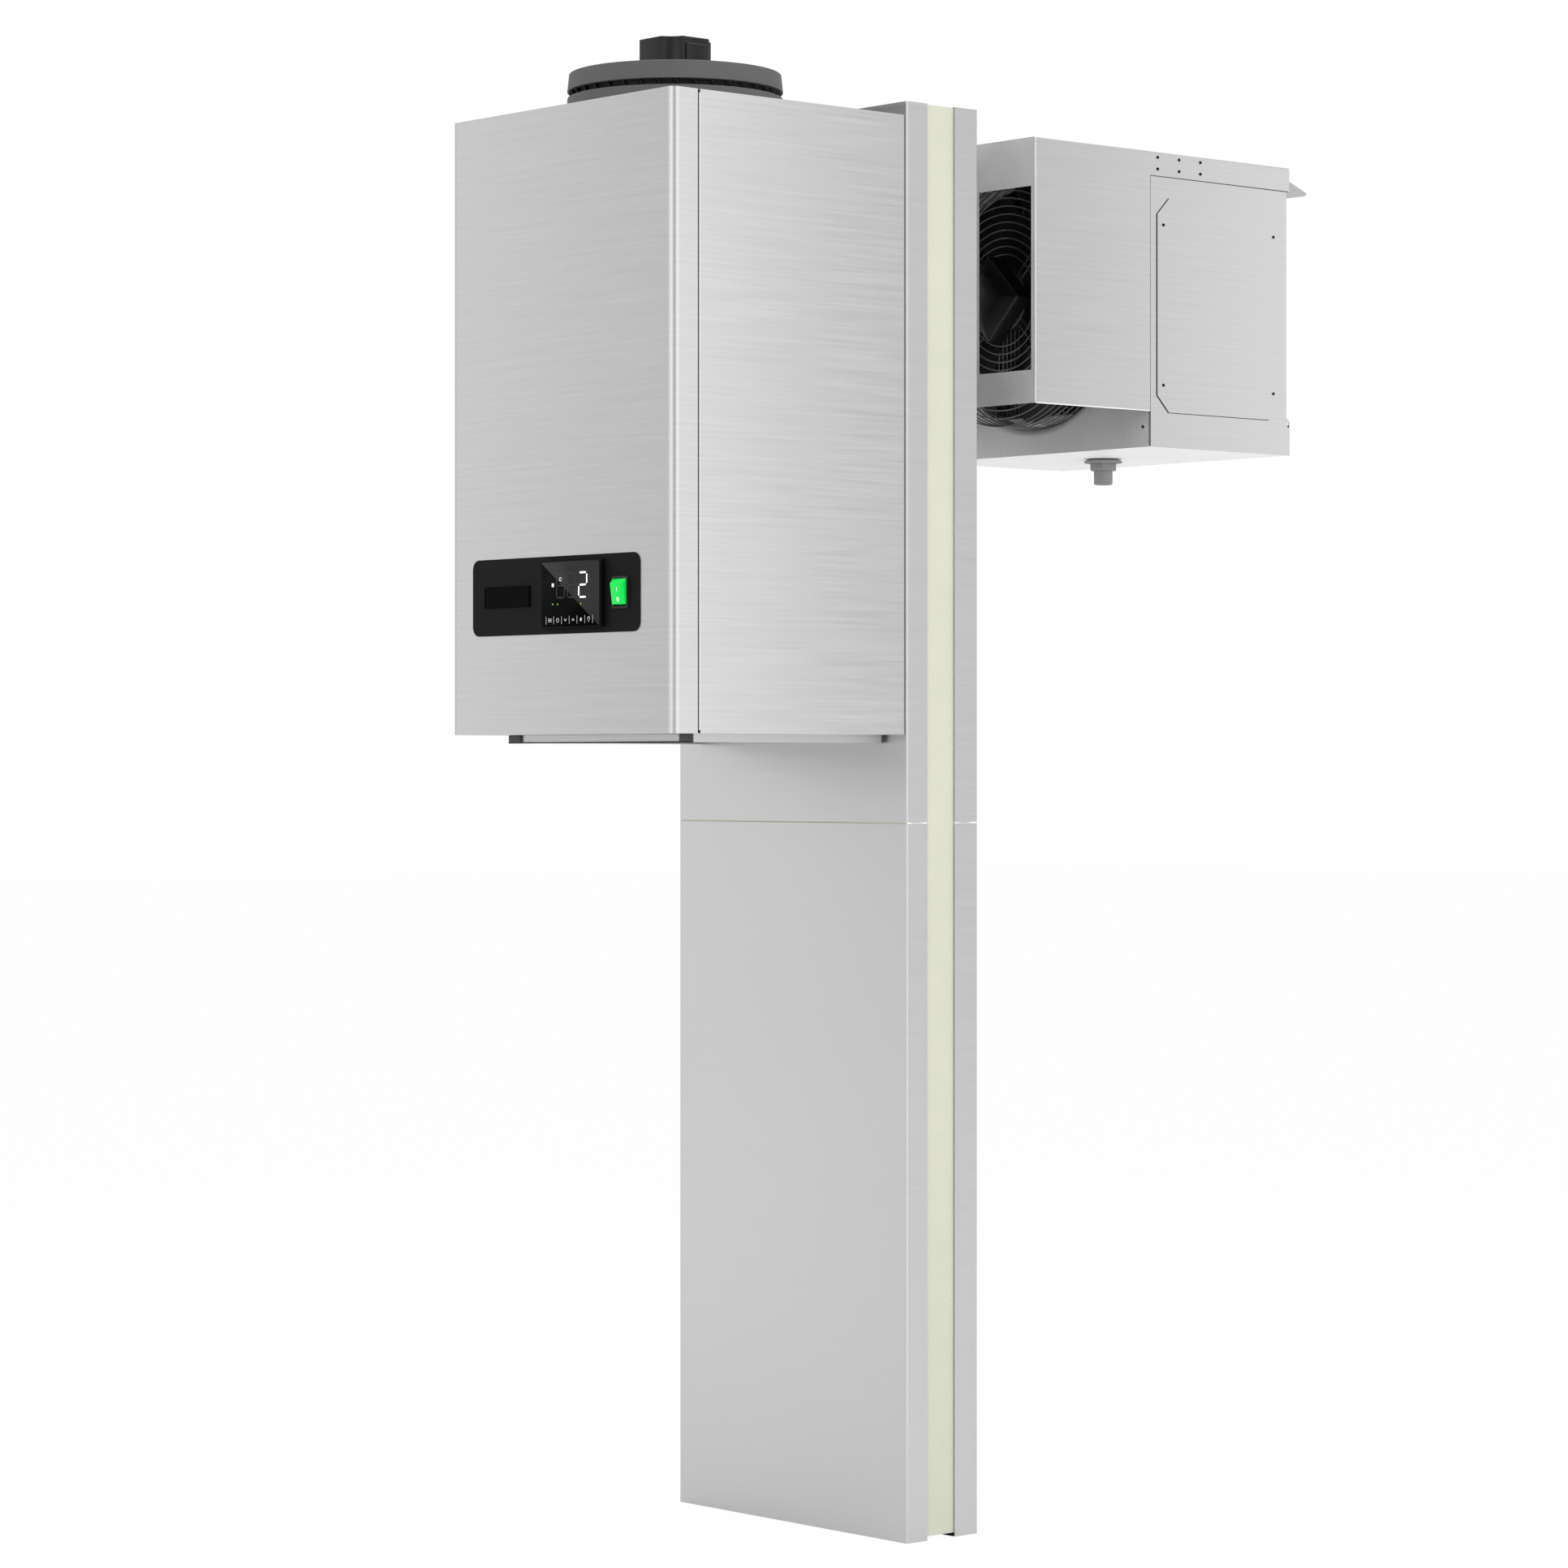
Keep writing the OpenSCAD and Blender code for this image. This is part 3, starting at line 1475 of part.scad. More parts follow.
module drip_tray() {
    color([0.86, 0.87, 0.87])
        difference() {
            union() {
                block([-tray_half, tray_y0, evap_z], [tray_half, tray_y1, tray_z1]);
                along_x(-tray_half, tray_half) translate([pivot_y, pivot_z]) circle(r = ear_r);
            }
            block([-notch_half, tray_y0 - over, evap_z + tray_back_h],
                  [notch_half, tray_y0 + tray_t + over, tray_z1 + over]);
            block([-tray_half + tray_t, tray_y0 + tray_t, evap_z + tray_t],
                  [tray_half - tray_t, tray_y1 - tray_t, pivot_z + ear_r + over]);
            translate([0, drain_y, evap_z - over])
                cylinder(r = drain_bore_r + 2 * gap, h = tray_t + 2 * over);
            both_sides() pivot_at() cylinder(r = pivot_r, h = 2 * tray_t + 2 * over, center = true);
        }
}

// The inner face of the tray's right wall on the hinge axis, pointing out
module pivot_at() {
    translate([tray_half - tray_t, pivot_y, pivot_z]) rotate([0, 90, 0]) children();
}

module tray_pivots() {
    length = panel_half - tray_half + tray_t;
    color(black)
        both_sides()
            pivot_at() cylinder(r = pivot_r, h = length);
}

module drain_fitting() {
    z1 = evap_z - drain_flange_t;
    z2 = z1 - drain_nut_t;
    color(grey)
        translate([0, drain_y, 0])
            difference() {
                union() {
                    translate([0, 0, z1]) cylinder(r = drain_flange_r, h = drain_flange_t);
                    translate([0, 0, z2]) hex(drain_nut_w, drain_nut_t);
                    translate([0, 0, z2 - spigot_l]) cylinder(r = spigot_r, h = spigot_l + over);
                }
                translate([0, 0, z2 - spigot_l - over])
                    cylinder(r = drain_bore_r, h = spigot_l + drain_nut_t + drain_flange_t + 2 * over);
            }
}

module evaporator_screws() {
    color(black) {
        both_sides() {
            for (y = [cover_y0 + screw_inset_y, cover_y1 - screw_inset_y],
                 z = [cover_z0 + screw_inset_z, cover_z1 - screw_inset_z])
                translate([panel_half + evap_t, y, z]) rotate([0, 90, 0]) screw_head();
            for (i = [0:2], j = [0:1])
                translate([evap_half, plate_y + hood_screw_y + i * hood_screw_pitch,
                           evap_top - hood_screw_z - j * hood_screw_drop])
                    rotate([0, 90, 0]) screw_head();
            translate([coil_half - foot_screw_x, plate_y, evap_z + foot_screw_z]) rotate([90, 0, 0])
                screw_head();
        }
    }
}

outer_skin_lower();
outer_skin_upper();
inner_skin_lower();
inner_skin_upper();
foam_core();
neck_casing();
neck_foam();
wall_gasket();
front_cover();
side_panel_left();
side_panel_right();
top_plate();
rear_plate();
base_plate();
inlet_rails();
filter_frame();
filter_mesh();
housing_screws();
fan_collar();
fan_ring();
condenser_fan_guard();
condenser_fan_motor();
condenser_impeller();
control_plate();
blank_badge();
controller_housing();
controller_glass();
switch_frame();
power_rocker();
cable_gland();
electrical_box();
terminal_block();
compressor_shelf();
compressor_shell();
compressor_feet();
rubber_mounts();
liquid_receiver();
filter_drier();
refrigerant_pipes();
condenser_fins();
condenser_tubes();
condenser_end_plates();
evaporator_hood();
hood_back_plate();
fan_plate();
evaporator_fan_guard();
evaporator_fan_motor();
evaporator_impeller();
evaporator_fins();
evaporator_tubes();
evaporator_end_plates();
coil_side_panel_left();
coil_side_panel_right();
access_covers();
air_deflector();
outlet_grille();
drip_tray();
drain_fitting();
tray_pivots();
evaporator_screws();
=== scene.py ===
# %% [markdown]
# # A monoblock refrigeration unit, dressed in Blender
# The CAD model already has every solid at its true size. This notebook keeps it as a fixed frame,
# gives each surface a finish of its own, and models the fine pieces that a CAD solid leaves plain:
# wire guards, screws, the display, the switch marks, the gland and the drain fitting.
# All lengths below are in metres, in the frame of the CAD model: X along the wall, Y from the
# outside to the cold side, Z up.

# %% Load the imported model
import math

import bmesh
import bpy
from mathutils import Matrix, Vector


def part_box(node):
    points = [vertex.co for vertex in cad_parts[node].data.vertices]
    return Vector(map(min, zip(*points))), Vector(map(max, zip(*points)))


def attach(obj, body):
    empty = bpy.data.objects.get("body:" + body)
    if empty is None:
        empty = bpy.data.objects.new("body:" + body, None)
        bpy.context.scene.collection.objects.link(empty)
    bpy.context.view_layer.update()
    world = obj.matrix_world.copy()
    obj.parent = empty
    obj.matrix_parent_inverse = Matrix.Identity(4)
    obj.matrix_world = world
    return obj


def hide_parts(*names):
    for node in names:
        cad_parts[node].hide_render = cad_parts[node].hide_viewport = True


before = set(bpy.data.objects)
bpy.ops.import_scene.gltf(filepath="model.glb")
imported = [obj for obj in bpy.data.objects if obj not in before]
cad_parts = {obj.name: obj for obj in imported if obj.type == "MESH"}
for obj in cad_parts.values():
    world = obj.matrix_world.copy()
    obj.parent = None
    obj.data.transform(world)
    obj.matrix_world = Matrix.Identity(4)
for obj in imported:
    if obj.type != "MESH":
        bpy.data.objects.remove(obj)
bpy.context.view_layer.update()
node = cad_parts
MM = 0.001

# %% [markdown]
# ## Camera
# The photograph was taken with a long lens held level, about 49 degrees round from the control
# face. A level camera keeps upright edges upright. The horizon lies a little above the middle of
# the picture, which is a small lens shift and not a tilt.

# %% Camera
CAMERA_PLACE = (4.389, -3.914, 0.954)
CAMERA_TURN = math.radians(48.79)
LENS = 105.78
HORIZON_SHIFT = -0.00916

camera_data = bpy.data.cameras.new("camera")
camera_data.lens = LENS
camera_data.sensor_width = 36
camera_data.shift_y = HORIZON_SHIFT
camera = bpy.data.objects.new("camera", camera_data)
bpy.context.scene.collection.objects.link(camera)
camera.location = CAMERA_PLACE
camera.rotation_euler = (math.pi / 2, 0, CAMERA_TURN)
bpy.context.scene.camera = camera
bpy.context.scene.view_settings.view_transform = "Standard"
print("camera", CAMERA_PLACE, "lens", LENS)

# %% [markdown]
# ## Studio
# A white room: the world gives an even light, and big soft panels make the side face a little
# brighter than the front, as in the photograph. Camera rays see the floor and the world white by
# their own colour, so the lamps can stay low. All other rays see the world's soft patches, which
# give the rounded corners of the sheet their bright and dark bands.

# %% Studio
BASE_LIGHT = 0.66
# Each patch: name, direction, the cosine where it starts, and how much it changes the light.
SOFT_PATCHES = (
    ("dark_beside", (0.90, -0.44, 0.0), 0.94, -0.66),
    ("bright_front", (-0.45, -0.89, 0.0), 0.93, 0.45),
    ("bright_camera", (0.25, -0.97, 0.0), 0.82, 1.3),
)
world = bpy.data.worlds.new("studio")
bpy.context.scene.world = world
world.use_nodes = True
world_nodes = world.node_tree.nodes
world_links = world.node_tree.links
background = world_nodes["Background"]
background.inputs["Color"].default_value = (1, 1, 1, 1)
white_sky = world_nodes.new("ShaderNodeBackground")
white_sky.inputs["Color"].default_value = (1, 1, 1, 1)
white_sky.inputs["Strength"].default_value = 1.0
sky_mix = world_nodes.new("ShaderNodeMixShader")
ray = world_nodes.new("ShaderNodeLightPath")
world_links.new(ray.outputs["Is Camera Ray"], sky_mix.inputs["Fac"])
sky_way = world_nodes.new("ShaderNodeTexCoord")
strength = None
for name, way, reach, change in SOFT_PATCHES:
    aim = world_nodes.new("ShaderNodeVectorMath")
    aim.operation = "DOT_PRODUCT"
    aim.inputs[1].default_value = way
    world_links.new(sky_way.outputs["Generated"], aim.inputs[0])
    lobe = world_nodes.new("ShaderNodeMapRange")
    lobe.interpolation_type = "SMOOTHSTEP"
    lobe.inputs["From Min"].default_value = reach
    lobe.inputs["From Max"].default_value = 1.0
    lobe.inputs["To Min"].default_value = 0.0
    lobe.inputs["To Max"].default_value = change
    world_links.new(aim.outputs["Value"], lobe.inputs["Value"])
    add = world_nodes.new("ShaderNodeMath")
    add.name = name
    if strength is None:
        add.inputs[0].default_value = BASE_LIGHT
    else:
        world_links.new(strength, add.inputs[0])
    world_links.new(lobe.outputs["Result"], add.inputs[1])
    strength = add.outputs[0]
world_links.new(strength, background.inputs["Strength"])
world_links.new(background.outputs[0], sky_mix.inputs[1])
world_links.new(white_sky.outputs[0], sky_mix.inputs[2])
world_links.new(sky_mix.outputs[0], world_nodes["World Output"].inputs["Surface"])


def soft_panel(name, place, aim, width, height, radiance):
    """A soft rectangular light at place that faces aim; radiance 1 is as bright as white paper."""
    data = bpy.data.lights.new(name, "AREA")
    data.shape = "RECTANGLE"
    data.size = width
    data.size_y = height
    data.energy = radiance * math.pi * width * height
    lamp = bpy.data.objects.new(name, data)
    bpy.context.scene.collection.objects.link(lamp)
    lamp.location = place
    lamp.rotation_euler = (Vector(aim) - Vector(place)).to_track_quat("-Z", "Y").to_euler()
    lamp.visible_camera = False
    return lamp


# Each panel: name, place, the point that it faces, width, height and radiance.
SOFT_PANELS = (
    ("panel_over", (0.3, 0.1, 3.7), (0.3, 0.1, 0), 4.0, 4.0, 1.3),
    ("panel_beside_box", (1.15, -0.12, 1.1), (0, -0.12, 1.1), 1.16, 2.6, 0.80),
    ("panel_beside_hood", (1.12, 1.85, 1.1), (0, 1.85, 1.1), 1.3, 2.6, 0.62),
    ("panel_before_box", (-1.65, -1.3, 1.1), (-1.65, 0, 1.1), 1.3, 2.6, 0.42),
)
for panel in SOFT_PANELS:
    soft_panel(*panel)

# %% Floor
FLOOR_SIZE = 60
FLOOR_TONE = 0.93
FLOOR_ROUGHNESS = 0.8
WHITE_SHARE = 0.97

bpy.ops.mesh.primitive_plane_add(size=FLOOR_SIZE, location=(0, 0, 0))
floor = bpy.context.object
floor.name = "floor"
floor_paint = bpy.data.materials.new("floor_white")
floor_paint.use_nodes = True
floor_nodes = floor_paint.node_tree.nodes
floor_links = floor_paint.node_tree.links
floor_shader = floor_nodes["Principled BSDF"]
floor_shader.inputs["Base Color"].default_value = (FLOOR_TONE, FLOOR_TONE, FLOOR_TONE, 1)
floor_shader.inputs["Roughness"].default_value = FLOOR_ROUGHNESS
glow = floor_nodes.new("ShaderNodeEmission")
glow.inputs["Strength"].default_value = 1.0
floor_mix = floor_nodes.new("ShaderNodeMixShader")
floor_ray = floor_nodes.new("ShaderNodeLightPath")
floor_share = floor_nodes.new("ShaderNodeMath")
floor_share.operation = "MULTIPLY"
floor_share.inputs[1].default_value = WHITE_SHARE
floor_links.new(floor_ray.outputs["Is Camera Ray"], floor_share.inputs[0])
floor_links.new(floor_share.outputs[0], floor_mix.inputs["Fac"])
floor_links.new(floor_shader.outputs[0], floor_mix.inputs[1])
floor_links.new(glow.outputs[0], floor_mix.inputs[2])
floor_links.new(floor_mix.outputs[0], floor_nodes["Material Output"].inputs["Surface"])
floor.data.materials.append(floor_paint)
print("studio ready")

# %% [markdown]
# ## Finishes shared by many pieces
# Three effects return on this unit: the straight grain of brushed sheet, the fine pimples of moulded
# plastic and powder coat, and the slow patches that handling leaves on every surface. The grain and
# the pimples are one node group each, and both groups carry the slow patches. A group gives out
# colour, roughness and height; the shader stays in the material, where its fixed values are set.

# %% Helpers for node groups
def new_group(name, inputs, outputs):
    """An empty shader node group with named sockets."""
    group = bpy.data.node_groups.new(name, "ShaderNodeTree")
    for label, kind, value in inputs:
        socket = group.interface.new_socket(label, in_out="INPUT", socket_type=kind)
        socket.default_value = value
    for label, kind in outputs:
        group.interface.new_socket(label, in_out="OUTPUT", socket_type=kind)
    start = group.nodes.new("NodeGroupInput")
    end = group.nodes.new("NodeGroupOutput")
    return group, start, end


def add_math(group, operation, first, second):
    """A math node in a group; each input is a socket or a number."""
    step = group.nodes.new("ShaderNodeMath")
    step.operation = operation
    for slot, value in enumerate((first, second)):
        if isinstance(value, (int, float)):
            step.inputs[slot].default_value = value
        else:
            group.links.new(value, step.inputs[slot])
    return step.outputs[0]


def plus(group, first, second):
    """The sum of two sockets or numbers."""
    return add_math(group, "ADD", first, second)


def minus(group, first, second):
    """The first socket or number less the second."""
    return add_math(group, "SUBTRACT", first, second)


def times(group, first, second):
    """The product of two sockets or numbers."""
    return add_math(group, "MULTIPLY", first, second)


def add_noise(group, vector, scale, detail):
    """A noise texture in a group, read along a vector."""
    noise = group.nodes.new("ShaderNodeTexNoise")
    noise.inputs["Scale"].default_value = scale
    noise.inputs["Detail"].default_value = detail
    group.links.new(vector, noise.inputs["Vector"])
    return noise.outputs["Fac"]


def add_tint(group, colour, factor):
    """A colour made lighter or darker by a factor that varies over the surface."""
    mix = group.nodes.new("ShaderNodeVectorMath")
    mix.operation = "SCALE"
    group.links.new(colour, mix.inputs[0])
    group.links.new(factor, mix.inputs["Scale"])
    return mix.outputs[0]


COLOUR = "NodeSocketColor"
NUMBER = "NodeSocketFloat"
NOISE_MEAN = 0.5

# %% [markdown]
# ### Brushed grain
# Sheet is brushed with a belt, which leaves long straight scratches along the wall direction.
# The pattern is a noise stretched a few hundred times along the scratch. On level faces the
# height doesn't change, so there the stretched direction is chosen by the face's normal.

# %% Brushed grain
LEVEL_NORMAL = 0.7
# Each layer: scale along the brushing, scale across it, and detail.
FINE_STREAKS = (9.0, 900.0, 2.0)
BROAD_STREAKS = (5.0, 230.0, 2.0)
PATCH_SCALE = 2.2
PATCH_DEPTH = 0.04
STREAK_GLOSS = 0.25

brushed, brushed_in, brushed_out = new_group(
    "brushed_grain",
    [("Colour", COLOUR, (0.7, 0.7, 0.7, 1)), ("Streaks", NUMBER, 0.1), ("Gloss", NUMBER, 0.35)],
    [("Colour", COLOUR), ("Roughness", NUMBER), ("Height", NUMBER)])
place = brushed.nodes.new("ShaderNodeTexCoord")
split = brushed.nodes.new("ShaderNodeSeparateXYZ")
brushed.links.new(place.outputs["Object"], split.inputs[0])
surface = brushed.nodes.new("ShaderNodeNewGeometry")
normal = brushed.nodes.new("ShaderNodeSeparateXYZ")
brushed.links.new(surface.outputs["Normal"], normal.inputs[0])
tilt = add_math(brushed, "ABSOLUTE", normal.outputs["Z"], 0.0)
is_level = add_math(brushed, "GREATER_THAN", tilt, LEVEL_NORMAL)
is_upright = minus(brushed, 1.0, is_level)
across_level = times(brushed, split.outputs["X"], is_level)
across_upright = times(brushed, split.outputs["Z"], is_upright)
across = plus(brushed, across_level, across_upright)
along = plus(brushed, split.outputs["Y"], times(brushed, split.outputs["X"], is_upright))


def streak_layer(along_scale, across_scale, detail):
    """One layer of scratches: noise stretched along the brushing."""
    joined = brushed.nodes.new("ShaderNodeCombineXYZ")
    brushed.links.new(times(brushed, along, along_scale), joined.inputs["X"])
    brushed.links.new(times(brushed, across, across_scale), joined.inputs["Y"])
    return add_noise(brushed, joined.outputs[0], 1.0, detail)


fine = streak_layer(*FINE_STREAKS)
broad = streak_layer(*BROAD_STREAKS)
patch = add_noise(brushed, place.outputs["Object"], PATCH_SCALE, 1.0)
grain = plus(brushed, times(brushed, fine, 0.5), times(brushed, broad, 0.5))
centred = minus(brushed, grain, NOISE_MEAN)
patch_change = times(brushed, minus(brushed, patch, NOISE_MEAN), PATCH_DEPTH)
streak_change = times(brushed, centred, brushed_in.outputs["Streaks"])
factor = plus(brushed, plus(brushed, streak_change, 1.0), patch_change)
brushed.links.new(add_tint(brushed, brushed_in.outputs["Colour"], factor), brushed_out.inputs["Colour"])
rough = plus(brushed, brushed_in.outputs["Gloss"], times(brushed, centred, STREAK_GLOSS))
brushed.links.new(rough, brushed_out.inputs["Roughness"])
brushed.links.new(grain, brushed_out.inputs["Height"])
print("group", brushed.name)

# %% [markdown]
# ### Fine pimples
# Moulded plastic and powder coat both have a skin of tiny pimples. One noise gives the height,
# and a slower one shifts colour and shine a little, as dust and handling do.

# %% Fine pimples
HAZE_SCALE = 18.0
HAZE_DETAIL = 3.0
HAZE_GLOSS = 0.2

pimpled, pimpled_in, pimpled_out = new_group(
    "fine_pimples",
    [("Colour", COLOUR, (0.1, 0.1, 0.1, 1)), ("Size", NUMBER, 900.0),
     ("Gloss", NUMBER, 0.5), ("Mottle", NUMBER, 0.2)],
    [("Colour", COLOUR), ("Roughness", NUMBER), ("Height", NUMBER)])
pimple_place = pimpled.nodes.new("ShaderNodeTexCoord")
pimple_noise = pimpled.nodes.new("ShaderNodeTexNoise")
pimple_noise.inputs["Detail"].default_value = 2.0
pimpled.links.new(pimple_place.outputs["Object"], pimple_noise.inputs["Vector"])
pimpled.links.new(pimpled_in.outputs["Size"], pimple_noise.inputs["Scale"])
bumps = pimple_noise.outputs["Fac"]
haze = add_noise(pimpled, pimple_place.outputs["Object"], HAZE_SCALE, HAZE_DETAIL)
speck = minus(pimpled, bumps, NOISE_MEAN)
drift = minus(pimpled, haze, NOISE_MEAN)
mottle = times(pimpled, plus(pimpled, speck, drift), pimpled_in.outputs["Mottle"])
shade = plus(pimpled, mottle, 1.0)
tint = add_tint(pimpled, pimpled_in.outputs["Colour"], shade)
pimple_rough = plus(pimpled, pimpled_in.outputs["Gloss"], times(pimpled, drift, HAZE_GLOSS))
pimpled.links.new(tint, pimpled_out.inputs["Colour"])
pimpled.links.new(pimple_rough, pimpled_out.inputs["Roughness"])
pimpled.links.new(bumps, pimpled_out.inputs["Height"])
print("group", pimpled.name)

# %% [markdown]
# ## Materials
# Each finish is a Principled shader fed by one of the groups. Sheet steel is metal through and
# through, so it shows the white room; its colour sets how much of it comes back.

# %% Material makers
def start_material(name):
    """A new material with its shader and the tree to add nodes to."""
    material = bpy.data.materials.new(name)
    material.use_nodes = True
    tree = material.node_tree
    return material, tree, tree.nodes["Principled BSDF"]


def feed(tree, shader, group, values, bump, depth):
    """Places a group in a material and links its colour, roughness and height to the shader."""
    step = tree.nodes.new("ShaderNodeGroup")
    step.node_tree = group
    for label, value in values.items():
        step.inputs[label].default_value = value
    tree.links.new(step.outputs["Colour"], shader.inputs["Base Color"])
    tree.links.new(step.outputs["Roughness"], shader.inputs["Roughness"])
    relief = tree.nodes.new("ShaderNodeBump")
    relief.inputs["Strength"].default_value = bump
    relief.inputs["Distance"].default_value = depth
    tree.links.new(step.outputs["Height"], relief.inputs["Height"])
    tree.links.new(relief.outputs[0], shader.inputs["Normal"])


def sheet_metal(name, tone, streaks, gloss, metallic=1.0):
    """Brushed sheet of a grey tone."""
    material, tree, shader = start_material(name)
    shader.inputs["Metallic"].default_value = metallic
    values = {"Colour": (tone, tone, tone * 1.01, 1), "Streaks": streaks, "Gloss": gloss}
    feed(tree, shader, brushed, values, 0.12, 0.0002)
    return material


def moulded(name, colour, size, gloss, mottle, bump=0.25, metallic=0.0, shine=0.25):
    """Plastic, rubber or paint with fine pimples."""
    material, tree, shader = start_material(name)
    shader.inputs["Specular IOR Level"].default_value = shine
    shader.inputs["Metallic"].default_value = metallic
    values = {"Colour": (*colour, 1), "Size": size, "Gloss": gloss, "Mottle": mottle}
    feed(tree, shader, pimpled, values, bump, 0.0003)
    return material


def lit(name, colour, strength):
    """A small lit mark of a display."""
    material, tree, shader = start_material(name)
    shader.inputs["Base Color"].default_value = (*colour, 1)
    shader.inputs["Roughness"].default_value = 0.5
    shader.inputs["Emission Color"].default_value = (*colour, 1)
    shader.inputs["Emission Strength"].default_value = strength
    return material


# %% Materials
steel = sheet_metal("brushed_steel", 0.6, 0.35, 0.38)
panel_steel = sheet_metal("panel_steel", 0.6, 0.08, 0.4)
galvanised = moulded("galvanised_steel", (0.60, 0.60, 0.605), 700.0, 0.5, 0.25, 0.15, 0.5)
tray_white = moulded("tray_white", (0.93, 0.935, 0.94), 500.0, 0.45, 0.03, 0.1)
foam = moulded("rigid_foam", (0.60, 0.61, 0.50), 260.0, 0.85, 0.10, 0.5)
grey_plastic = moulded("grey_plastic", (0.11, 0.11, 0.112), 1100.0, 0.55, 0.2)
drain_plastic = moulded("drain_plastic", (0.26, 0.26, 0.26), 900.0, 0.5, 0.15)
wire_black = moulded("wire_black", (0.075, 0.075, 0.077), 900.0, 0.25, 0.2, 0.1, 0.0, 0.5)
motor_black = moulded("motor_black", (0.006, 0.006, 0.0068), 520.0, 0.34, 1.0, 0.4, 0.0, 0.33)
blade_black = moulded("blade_black", (0.008, 0.008, 0.0085), 700.0, 0.5, 0.3)
control_black = moulded("control_black", (0.007, 0.007, 0.0076), 1500.0, 0.6, 0.2, 0.25, 0.0, 0.1)
case_black = moulded("case_black", (0.004, 0.004, 0.0045), 1800.0, 0.4, 0.15, 0.25, 0.0, 0.1)
gland_black = moulded("gland_black", (0.015, 0.015, 0.016), 900.0, 0.5, 0.2)
white_plastic = moulded("white_plastic", (0.75, 0.76, 0.76), 900.0, 0.5, 0.1)
shell_paint = moulded("shell_paint", (0.02, 0.02, 0.022), 600.0, 0.3, 0.3)
rubber = moulded("rubber", (0.03, 0.03, 0.03), 500.0, 0.8, 0.3)
copper = moulded("copper", (0.72, 0.36, 0.22), 300.0, 0.3, 0.25, 0.1, 1.0)
fin_metal = sheet_metal("fin_metal", 0.5, 0.3, 0.3)
wire_metal = moulded("wire_metal", (0.45, 0.45, 0.46), 900.0, 0.35, 0.3, 0.2, 1.0)
screw_metal = moulded("screw_black", (0.004, 0.004, 0.004), 900.0, 0.5, 0.3, 0.1)
print("materials", len(bpy.data.materials))

# %% [markdown]
# ### Glass and lit rocker
# The controller's front is smoked glass over a black case; a lighter grey on the upper right half of
# its front is a painted reflection. The rocker is clear green plastic with a lamp behind it, so it
# glows a little by itself.

# %% Glass and rocker
glass_black, glass_tree, glass_shader = start_material("glass_black")
glass_values = {"Colour": (0.0015, 0.0016, 0.0018, 1), "Size": 60.0, "Gloss": 0.08, "Mottle": 0.1}
feed(glass_tree, glass_shader, pimpled, glass_values, 0.02, 0.0002)
glass_shader.inputs["Specular IOR Level"].default_value = 0.02

rocker_green, rocker_tree, rocker_shader = start_material("rocker_green")
rocker_values = {"Colour": (0.0, 0.55, 0.06, 1), "Size": 200.0, "Gloss": 0.2, "Mottle": 0.1}
feed(rocker_tree, rocker_shader, pimpled, rocker_values, 0.02, 0.0002)
rocker_shader.inputs["Emission Color"].default_value = (0.0, 0.75, 0.08, 1)
rocker_shader.inputs["Emission Strength"].default_value = 0.45
rocker_shader.inputs["Specular IOR Level"].default_value = 0.25

# %% More finishes of the control panel
badge_gloss = moulded("badge_gloss", (0.002, 0.002, 0.0024), 900.0, 0.16, 0.1, 0.05, 0.0, 0.02)
# A lighter grey for the upper right half of the glass front: a painted reflection.
glass_painted_reflection = moulded("glass_painted_reflection", (0.030, 0.028, 0.030), 60.0, 0.1, 0.1, 0.02, 0.0, 0.12)
frame_grey = moulded("frame_grey", (0.022, 0.020, 0.021), 900.0, 0.5, 0.2)
lit_white = lit("lit_white", (0.92, 0.94, 0.95), 0.85)
lit_dim = lit("lit_dim", (0.62, 0.63, 0.64), 0.6)
# Black for the slot liner, for the strip along the filter's foot, and for beads that paint shade in
# joints and along cover edges.
seal_and_painted_shade_black = moulded("seal_and_painted_shade_black", (0.012, 0.012, 0.012), 800.0, 0.7, 0.2)
block_grey = moulded("block_grey", (0.07, 0.07, 0.072), 900.0, 0.5, 0.2)
# A brighter steel for beads and strips that paint highlights along folds and joints.
painted_highlight_steel = sheet_metal("painted_highlight_steel", 0.85, 0.1, 0.25)
mark_white = lit("mark_white", (0.95, 0.96, 0.95), 0.5)
lit_green = lit("lit_green", (0.25, 0.55, 0.04), 0.5)
unlit_grey = moulded("unlit_grey", (0.028, 0.028, 0.03), 900.0, 0.4, 0.1, 0.02)
print("display finishes ready")

# %% [markdown]
# ### Finishes on the CAD nodes
# A node whose shape is right keeps its mesh and only gets its finish.

